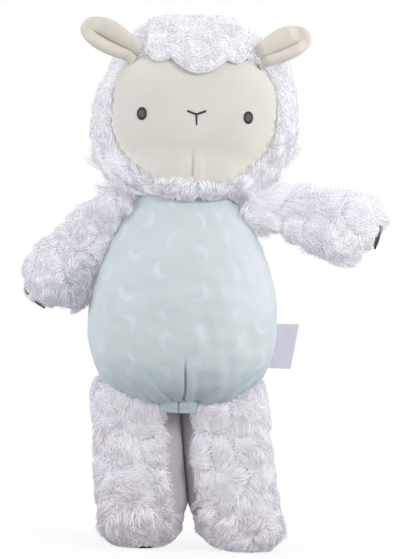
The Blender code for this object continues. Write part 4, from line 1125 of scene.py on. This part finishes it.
def arm_axes(side):
    """An arm's shoulder, the way along it and the way to its upper side."""
    shoulder, angle = ARM[side]
    return (shoulder, np.array([side * math.cos(angle), 0, -math.sin(angle)]),
            np.array([side * math.sin(angle), 0, math.cos(angle)]))


def make_arms():
    """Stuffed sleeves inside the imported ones, and their pile."""
    for side, name in ((1, "left"), (-1, "right")):
        shoulder, along, upper = arm_axes(side)
        nodes = [f"arm_{name}_front_panel", f"arm_{name}_back_panel", f"arm_{name}_filling", f"arm_{name}_pad"]
        columns, rows, cap_rows = ((96, 60, 22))
        turn = turns(columns)
        dirs = upper[None] * np.cos(turn)[:, None] + np.array([0, -1.0, 0])[None] * np.sin(turn)[:, None]
        axis = [shoulder + along * s for s in np.linspace(0.001, 0.056, rows)]
        origins, directions = limb_rays(axis, dirs, along, cap_rows)
        radius = star_form(nodes, origins + SHIFT, directions, blur=3)
        cad = origins[:, None, :] + directions * radius[..., None]
        share = ((cad - shoulder) @ along) / ARM_LONG
        inset = 0.0040 + 0.0004 * np.sin(share * 9)
        under = 1 - smooth(0.02, 0.24, share)
        end = smooth(0.55, 0.80, share)
        lower = smooth(0.0, 0.6, -(directions @ upper))
        toward = smooth(0.25, 0.70, directions[..., 0]) * end if side < 0 else 0 * end
        flat_end = smooth(0.86, 0.94, directions @ along)
        inset = inset - 0.0030 * toward * (1 - flat_end) + 0.0007 * flat_end
        form = origins[:, None, :] + directions * np.maximum(radius - inset, 0.003)[..., None]
        normals = grid_normals(form, True, shoulder + along * 0.03)
        form = form + normals * (0.0009 * lump(form, 0.020, 14 + side) * (1 - flat_end))[..., None]
        piece = closed_form(f"arm_{name}_form", form, form[0].mean(0), form[-1].mean(0), BACKING, f"arm_{name}")
        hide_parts(f"arm_{name}_front_panel", f"arm_{name}_back_panel", f"arm_{name}_filling")
        # pile: longest at the lower end, droops along the arm and down
        over = smooth(0.1, 0.8, directions @ upper)
        cap = smooth(0.2, 0.7, directions @ along)
        hang = smooth(0.0, 0.7, -(directions @ upper))
        lengths = 0.0070 + 0.0030 * under + (0.0032 if side > 0 else 0.0004) * over - 0.0012 * cap
        if side < 0:
            lengths = lengths - 0.0022 * end * over + 0.0028 * toward
            lengths = lengths - 0.0034 * end * smooth(0.50, 0.90, -directions[..., 2])
        else:
            # the end is square: fuller above, shorter below
            lengths = lengths + (0.0020 * over - 0.0024 * (1 - over) - 0.0020 * lower) * cap
        lengths = lengths + (0.0030 if side > 0 else 0.0018) * over * (1 - smooth(0.15, 0.50, share))
        # painted shade: the deepest tint on each arm's underside, more on the right arm, which also has some all over
        painted_shade = hang * (0.28 if side > 0 else 0.60 * smooth(0.15, 0.60, share)) + (0.0 if side > 0 else 0.10)
        fall = along * (0.6 + 1.6 * end)[..., None] + np.array([0, 0, -0.6])
        if side > 0:
            fall = fall + np.array([0, 0, 1.5]) * (over * end)[..., None]
            fall = fall - np.array([0.8, 0, 0]) * (lower * end)[..., None]
        else:
            fall = fall + np.array([1.8, 0, 0.7]) * (np.maximum(lower, cap) * end)[..., None]
        pad_zone = (directions @ along > 0.88) & (directions @ upper < 0.12)
        body_clear = lambda lines: inside_body(lines[:, 2:], 0.0008).any(1) | inside_head(lines)
        front = directions[..., 1] < 0.0
        # the left arm wears the lit coat and the right arm the shaded one: painted light and shade
        for part, zone in (("front", front), ("back", ~front)):
            fur(f"arm_{name}_{part}_pile", form, normals, zone & (share > -0.10) & ~pad_zone, 7600, f"arm_{name}",
                lengths, fall, lean=0.95, clump=0.0068, pull=0.60, curl=0.16, thick=0.00028, rings=4,
                seed=50 + side + (4 if part == "front" else 0), avoid=body_clear, flat=0.15,
                coats=LIT_ARM_FUR if side > 0 else SHADED_ARM_FUR, painted_shade=painted_shade)


def inside_head(lines):
    """Strands that would run through the head."""
    p = lines[:, 2:]
    return (np.hypot(p[..., 1], p[..., 2] - HEAD_Z) < head_girth(p[..., 0] - HEAD_X)).any(1)


LEG_LEAN, LEG_TOP, LEG_APART = 0.13, 0.080, 0.0295


def leg_plane(height):
    """The x of the plane between the legs, which leans with them."""
    return LEG_LEAN * (LEG_TOP - height)


def make_legs():
    """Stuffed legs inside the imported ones, each with a smooth inner strip and two lengths of pile."""
    for side, name in ((1, "left"), (-1, "right")):
        nodes = [f"leg_{name}_outer_panel", f"leg_{name}_inner_panel", f"leg_{name}_filling", f"leg_{name}_sole"]
        columns, rows, cap_rows = ((112, 76, 18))
        turn = turns(columns)
        dirs = np.stack([side * np.cos(turn), -np.sin(turn), 0 * turn], -1)
        heights = np.linspace(LEG_TOP, 0.012, rows)
        axis = [np.array([side * LEG_APART + leg_plane(h), -0.003 * (1 - h / LEG_TOP), h]) for h in heights]
        origins, directions = limb_rays(axis, dirs, np.array([0, 0, -1.0]), cap_rows)
        radius = star_form(nodes, origins + SHIFT, directions, blur=3)
        cad = origins[:, None, :] + directions * radius[..., None]
        # turn 0 is the outer side; the inner side is half a turn away
        inner = np.abs(turn / (2 * math.pi) - 0.5)
        strip = 1 - smooth(0.115, 0.135, inner)[None, :]
        inset = 0.0040 * (1 - strip) + 0.0011 * strip
        tall = cad[..., 2]
        inset = inset * smooth(0.0, 0.006, tall) + 0.0012 * (1 - smooth(0.0, 0.006, tall))
        form = origins[:, None, :] + directions * np.maximum(radius - inset, 0.003)[..., None]
        normals = grid_normals(form, True, axis[rows // 2])
        wobble = 0.0009 * lump(form, 0.020, 24 + side) * (1 - strip) * smooth(0.001, 0.012, tall)
        form = form + normals * wobble[..., None]
        form[..., 2] = np.maximum(form[..., 2], 0.0011)
        foot = form[-1].mean(0)
        form[..., :2] = foot[:2] + (form[..., :2] - foot[:2]) * (1 - 0.16 * (1 - smooth(0.0, 0.013, tall)))[..., None]
        # the inner sides swell until they nearly meet at the plane between the legs
        plane = leg_plane(form[..., 2])
        apart = np.maximum(side * (form[..., 0] - plane), 0.0058 * (1 - smooth(0.015, 0.024, form[..., 2])))
        close = np.exp(-((form[..., 1] - side * 0.003) / 0.0075) ** 2) * smooth(0.018, 0.027, form[..., 2])
        close = close * smooth(0.0800, 0.0765, form[..., 2]) * (apart < 0.016)
        form[..., 0] = plane + side * (apart * (1 - close) + 0.00045 * close)
        normals = grid_normals(form, True, axis[rows // 2])
        piece = closed_form(f"leg_{name}_form", form, form[0].mean(0), form[-1].mean(0), LEG_BACKING, f"leg_{name}")
        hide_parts(f"leg_{name}_outer_panel", f"leg_{name}_filling")
        # the smooth strip on the inner side
        pick = np.flatnonzero(inner < 0.140)
        band = slice(cap_rows, cap_rows + int(np.sum(heights > 0.0185)))
        patch = form[band][:, pick] + normals[band][:, pick] * 0.0007
        patch_normals = normals[band][:, pick]
        run = np.cumsum(np.concatenate([[0], np.linalg.norm(np.diff(patch[rows // 3], axis=0), axis=1)]))
        uvs = np.stack([np.broadcast_to(run, patch.shape[:2]), patch[..., 2]], -1)
        strip_piece = cloth_shell(f"leg_{name}_inner_cloth", patch, patch_normals, CLOTH_THICK, SHADED_PALE, f"leg_{name}",
                                  uvs=uvs)
        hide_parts(f"leg_{name}_inner_panel")
        # pile
        lengths = 0.0070 + 0.0012 * smooth(0.06, 0.02, tall) - 0.0030 * (1 - smooth(0.0, 0.013, tall))
        lengths = lengths * (1 - 0.5 * smooth(0.20, 0.10, inner)[None, :] * (1 - smooth(0.016, 0.030, tall)))
        # painted shade: the deepest tint towards the bottom, on the inner side, and over all of the right leg
        painted_shade = (0.14 * smooth(0.076, 0.058, tall) + 0.40 * (1 - smooth(0.006, 0.052, tall))
               + 0.10 * smooth(0.20, 0.12, inner)[None, :] + (0 if side > 0 else 0.10))
        border = smooth(0.36, 0.09, inner)[None, :, None]
        fall = np.broadcast_to(np.array([0.0, 0, -1.0]), form.shape) + directions * 0.25
        fall = fall + np.array([-1.05 * side, 0, 0]) * border
        rise = smooth(0.078, 0.092, tall)[..., None]
        fall = fall * (1 - rise) + np.array([0.20 * side, -0.75, 0.65]) * rise
        clear = lambda lines: (inside_body(lines[:, 2:], 0.0010).any(1)
                               | (side * (lines[..., 0] - leg_plane(lines[..., 2]))
                                  < np.where(lines[..., 2] < 0.020, 0.0024, 0.0004)).any(1))
        front = directions[..., 1] < 0.0
        outer_zone = (inner > (0.064 if side > 0 else 0.104))[None, :] | (tall < 0.0205)
        outer_zone = outer_zone & (tall > 0.0020) & (tall < 0.099)
        for part, zone in (("front", front), ("back", ~front)):
            fur(f"leg_{name}_{part}_pile", form, normals, zone & outer_zone, 8900, f"leg_{name}", lengths, fall,
                lean=0.96, clump=0.0078, pull=0.60, curl=0.24, thick=0.00031, rings=4,
                seed=60 + side + (4 if part == "front" else 0), avoid=clear, flat=0.24, coats=LEG_FUR, painted_shade=painted_shade)
        # a short pile under the locks closes their partings
        fur(f"leg_{name}_under_pile", form, normals, outer_zone, 9600, f"leg_{name}", 0.52 * lengths, fall, lean=0.80,
            clump=0.0045, pull=0.20, curl=0.15, thick=0.00040, rings=3, seed=68 + side, avoid=clear, flat=0.22,
            coats=LEG_FUR, painted_shade=0.4 * painted_shade)


PAD_SCALE, PAD_THIN, PAD_DEEP, SOLE_SCALE = 0.64, 0.42, 0.0031, 0.77


def finish_felt(pad, node, body):
    pad.data.polygons.foreach_set("use_smooth", np.ones(len(pad.data.polygons), dtype=bool))
    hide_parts(node)
    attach(pad, body)


def make_soles_and_pads():
    """Felt pads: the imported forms, smaller and thinner, because the pile covers their rims."""
    for side, name in ((1, "left"), (-1, "right")):
        shoulder, along, _ = arm_axes(side)
        pad, points = carried_over(f"arm_{name}_pad", f"arm_{name}_pad_felt", FELT)
        points = points - shoulder - SHIFT
        length = points @ along
        flatter = length.max() - PAD_THIN * (length.max() - length) - PAD_DEEP
        points = (points - length[:, None] * along) * PAD_SCALE + flatter[:, None] * along
        set_points(pad, points + shoulder + SHIFT)
        finish_felt(pad, f"arm_{name}_pad", f"arm_{name}")

        sole, points = carried_over(f"leg_{name}_sole", f"leg_{name}_sole_felt", FELT)
        middle = 0.5 * (points.min(0) + points.max(0))
        points[:, :2] = middle[:2] + (points[:, :2] - middle[:2]) * SOLE_SCALE
        set_points(sole, points)
        finish_felt(sole, f"leg_{name}_sole", f"leg_{name}")


COLLAR_LOW, COLLAR_HIGH = 0.2006, 0.2155


def make_collar():
    """The plush ring between body and head."""
    columns, rows = 96, 22
    turn = turns(columns)
    dirs = np.stack([np.cos(turn), np.sin(turn), 0 * turn], -1)
    origins = np.array([[0, 0, h] for h in np.linspace(COLLAR_LOW, COLLAR_HIGH, rows)])
    directions = np.broadcast_to(dirs, (rows, columns, 3))
    radius = star_form(["neck_yoke"], origins + SHIFT, directions, blur=1)
    form = origins[:, None, :] + directions * (radius - 0.0015)[..., None]
    normals = grid_normals(form, True, (0, 0, 0.208))
    piece = closed_form("collar_form", form, (0, 0, COLLAR_LOW), (0, 0, 0.2030), BACKING, "neck")
    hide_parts("neck_yoke")
    fall = np.broadcast_to(np.array([0, 0, -1.0]), form.shape) + directions * 0.35
    clear = lambda lines: inside_body(lines[:, 1:], 0.0).any(1)
    low = (form[..., 2] < 0.2100) | (form[..., 1] > 0.012)
    lengths = 0.0082 - 0.0044 * smooth(0.0, -0.015, form[..., 1]) * smooth(0.034, 0.020, np.abs(form[..., 0]))
    # painted shade: much of the collar's pile takes the deepest tint, for the shade under the head
    fur("collar_pile", form, normals, low, 8500, "neck", lengths, fall, lean=1.0, clump=0.0062, pull=0.62,
        curl=0.18, thick=0.00028, rings=4, seed=71, avoid=clear, painted_shade=0.42 + 0 * lengths)


def make_label():
    """A folded woven tape, sewn into the side seam by its open edges."""
    low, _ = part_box("side_label")
    tape, points = carried_over("side_label", "side_tape", TAPE)
    mesh = tape.data
    layer = mesh.uv_layers.new(name="cloth") if not mesh.uv_layers else mesh.uv_layers[0]
    mesh.uv_layers.active = layer
    corner = np.empty(len(mesh.loops), dtype=np.int32)
    mesh.loops.foreach_get("vertex_index", corner)
    layer.data.foreach_set("uv", points[corner][:, [0, 2]].astype(np.float32).ravel())
    points[:, 2] += 0.16 * (points[:, 0] - low[0] - 0.003)  # it slants up, away from the seam
    set_points(tape, points)
    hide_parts("side_label")
    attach(tape, "label")


# ---------------------------------------------------------------- the stage

FLOOR_REACH = 0.62
# The height of the picture at the target, and how the whole view is rolled
VIEW_HEIGHT, ROLL = 0.3186, 0.0401


def make_stage():
    """World, floor, lamps and camera."""
    world = bpy.data.worlds.new("studio")
    bpy.context.scene.world = world
    world.use_nodes = True
    tree = world.node_tree
    tree.nodes.clear()
    out = tree.nodes.new("ShaderNodeOutputWorld")
    soft = tree.nodes.new("ShaderNodeBackground")
    soft.inputs["Color"].default_value = (0.94, 0.955, 1.0, 1)
    way = parts_of(tree, place_of(tree, "Generated"))
    tree.links.new(ramp(tree, way["Z"], -0.5, 0.5, 0.42, 0.76), soft.inputs["Strength"])
    plain = tree.nodes.new("ShaderNodeBackground")
    plain.inputs["Color"].default_value = (1, 1, 1, 1)
    plain.inputs["Strength"].default_value = 1.0
    path = tree.nodes.new("ShaderNodeLightPath")
    choose = tree.nodes.new("ShaderNodeMixShader")
    direct = maths(tree, "MAXIMUM", path.outputs["Is Camera Ray"],
                   maths(tree, "MAXIMUM", path.outputs["Is Glossy Ray"], path.outputs["Is Transmission Ray"]))
    tree.links.new(direct, choose.inputs[0])
    tree.links.new(soft.outputs[0], choose.inputs[1])
    tree.links.new(plain.outputs[0], choose.inputs[2])
    tree.links.new(choose.outputs[0], out.inputs["Surface"])

    # a round pale floor that fades out into the white
    points = [(FLOOR_REACH * math.cos(t), FLOOR_REACH * math.sin(t), 0.0) for t in turns(96)]
    material, tree, shader = principled("floor_pale", (0.93, 0.93, 0.935), 0.9)
    out = [n for n in tree.nodes if n.type == "OUTPUT_MATERIAL"][0]
    far = vector(tree, "LENGTH", place_of(tree))
    grain = noise(tree, place_of(tree), 60.0)
    base = mix(tree, ramp(tree, grain, 0.3, 0.7), (0.93, 0.93, 0.935), (0.91, 0.91, 0.92))
    tree.links.new(base, shader.inputs["Base Color"])
    clear = tree.nodes.new("ShaderNodeBsdfTransparent")
    fade = tree.nodes.new("ShaderNodeMixShader")
    tree.links.new(ramp(tree, far, 0.05, 0.16, 0.83, 1.0), fade.inputs[0])
    tree.links.new(shader.outputs[0], fade.inputs[1])
    tree.links.new(clear.outputs[0], fade.inputs[2])
    tree.links.new(fade.outputs[0], out.inputs["Surface"])
    floor = new_piece("floor", points, [list(range(96))], material, shift=False)

    def area(name, place, size, power, colour, target=(0, 0, 0.16)):
        data = bpy.data.lights.new(name, "AREA")
        data.shape = "DISK"
        data.size = size
        data.energy = power
        data.color = colour
        lamp = bpy.data.objects.new(name, data)
        lamp.location = place
        lamp.rotation_euler = (Vector(place) - Vector(target)).to_track_quat("Z", "Y").to_euler()
        bpy.context.scene.collection.objects.link(lamp)

    area("key", (0.85, -1.0, 0.80), 0.55, 7.9, (1.0, 0.985, 0.97))
    area("fill", (-1.30, -0.42, 0.20), 0.9, 8.3, (0.985, 0.988, 1.0))
    area("side", (1.25, -0.15, 0.25), 0.7, 5.2, (1.0, 0.99, 0.98))
    area("top", (0.05, -0.05, 1.2), 0.8, 0.8, (1.0, 1.0, 1.0))

    camera = bpy.data.cameras.new("camera")
    camera.lens = 200.0
    camera.sensor_width = 36.0
    camera.clip_end = 20.0
    holder = bpy.data.objects.new("camera", camera)
    bpy.context.scene.collection.objects.link(holder)
    rise = math.radians(2.0)
    back = Vector((0, -math.cos(rise), math.sin(rise)))
    right = Vector((1, 0, ROLL)).normalized()
    up = back.cross(right).normalized()
    right = up.cross(back).normalized()
    target = Vector((-0.0001, 0, 0.1533))
    turned = Matrix((right, up, back)).transposed().to_4x4()
    turned.translation = target + back * (VIEW_HEIGHT * camera.lens / camera.sensor_width)
    holder.matrix_world = turned
    scene = bpy.context.scene
    scene.camera = holder
    scene.view_settings.view_transform = "Standard"


make_stage()
make_belly()
make_back()
make_filling()
make_gusset()
make_head()
make_face()
make_eyes()
make_nose()
make_forelock()
make_ears()
make_collar()
make_arms()
make_legs()
make_soles_and_pads()
make_label()
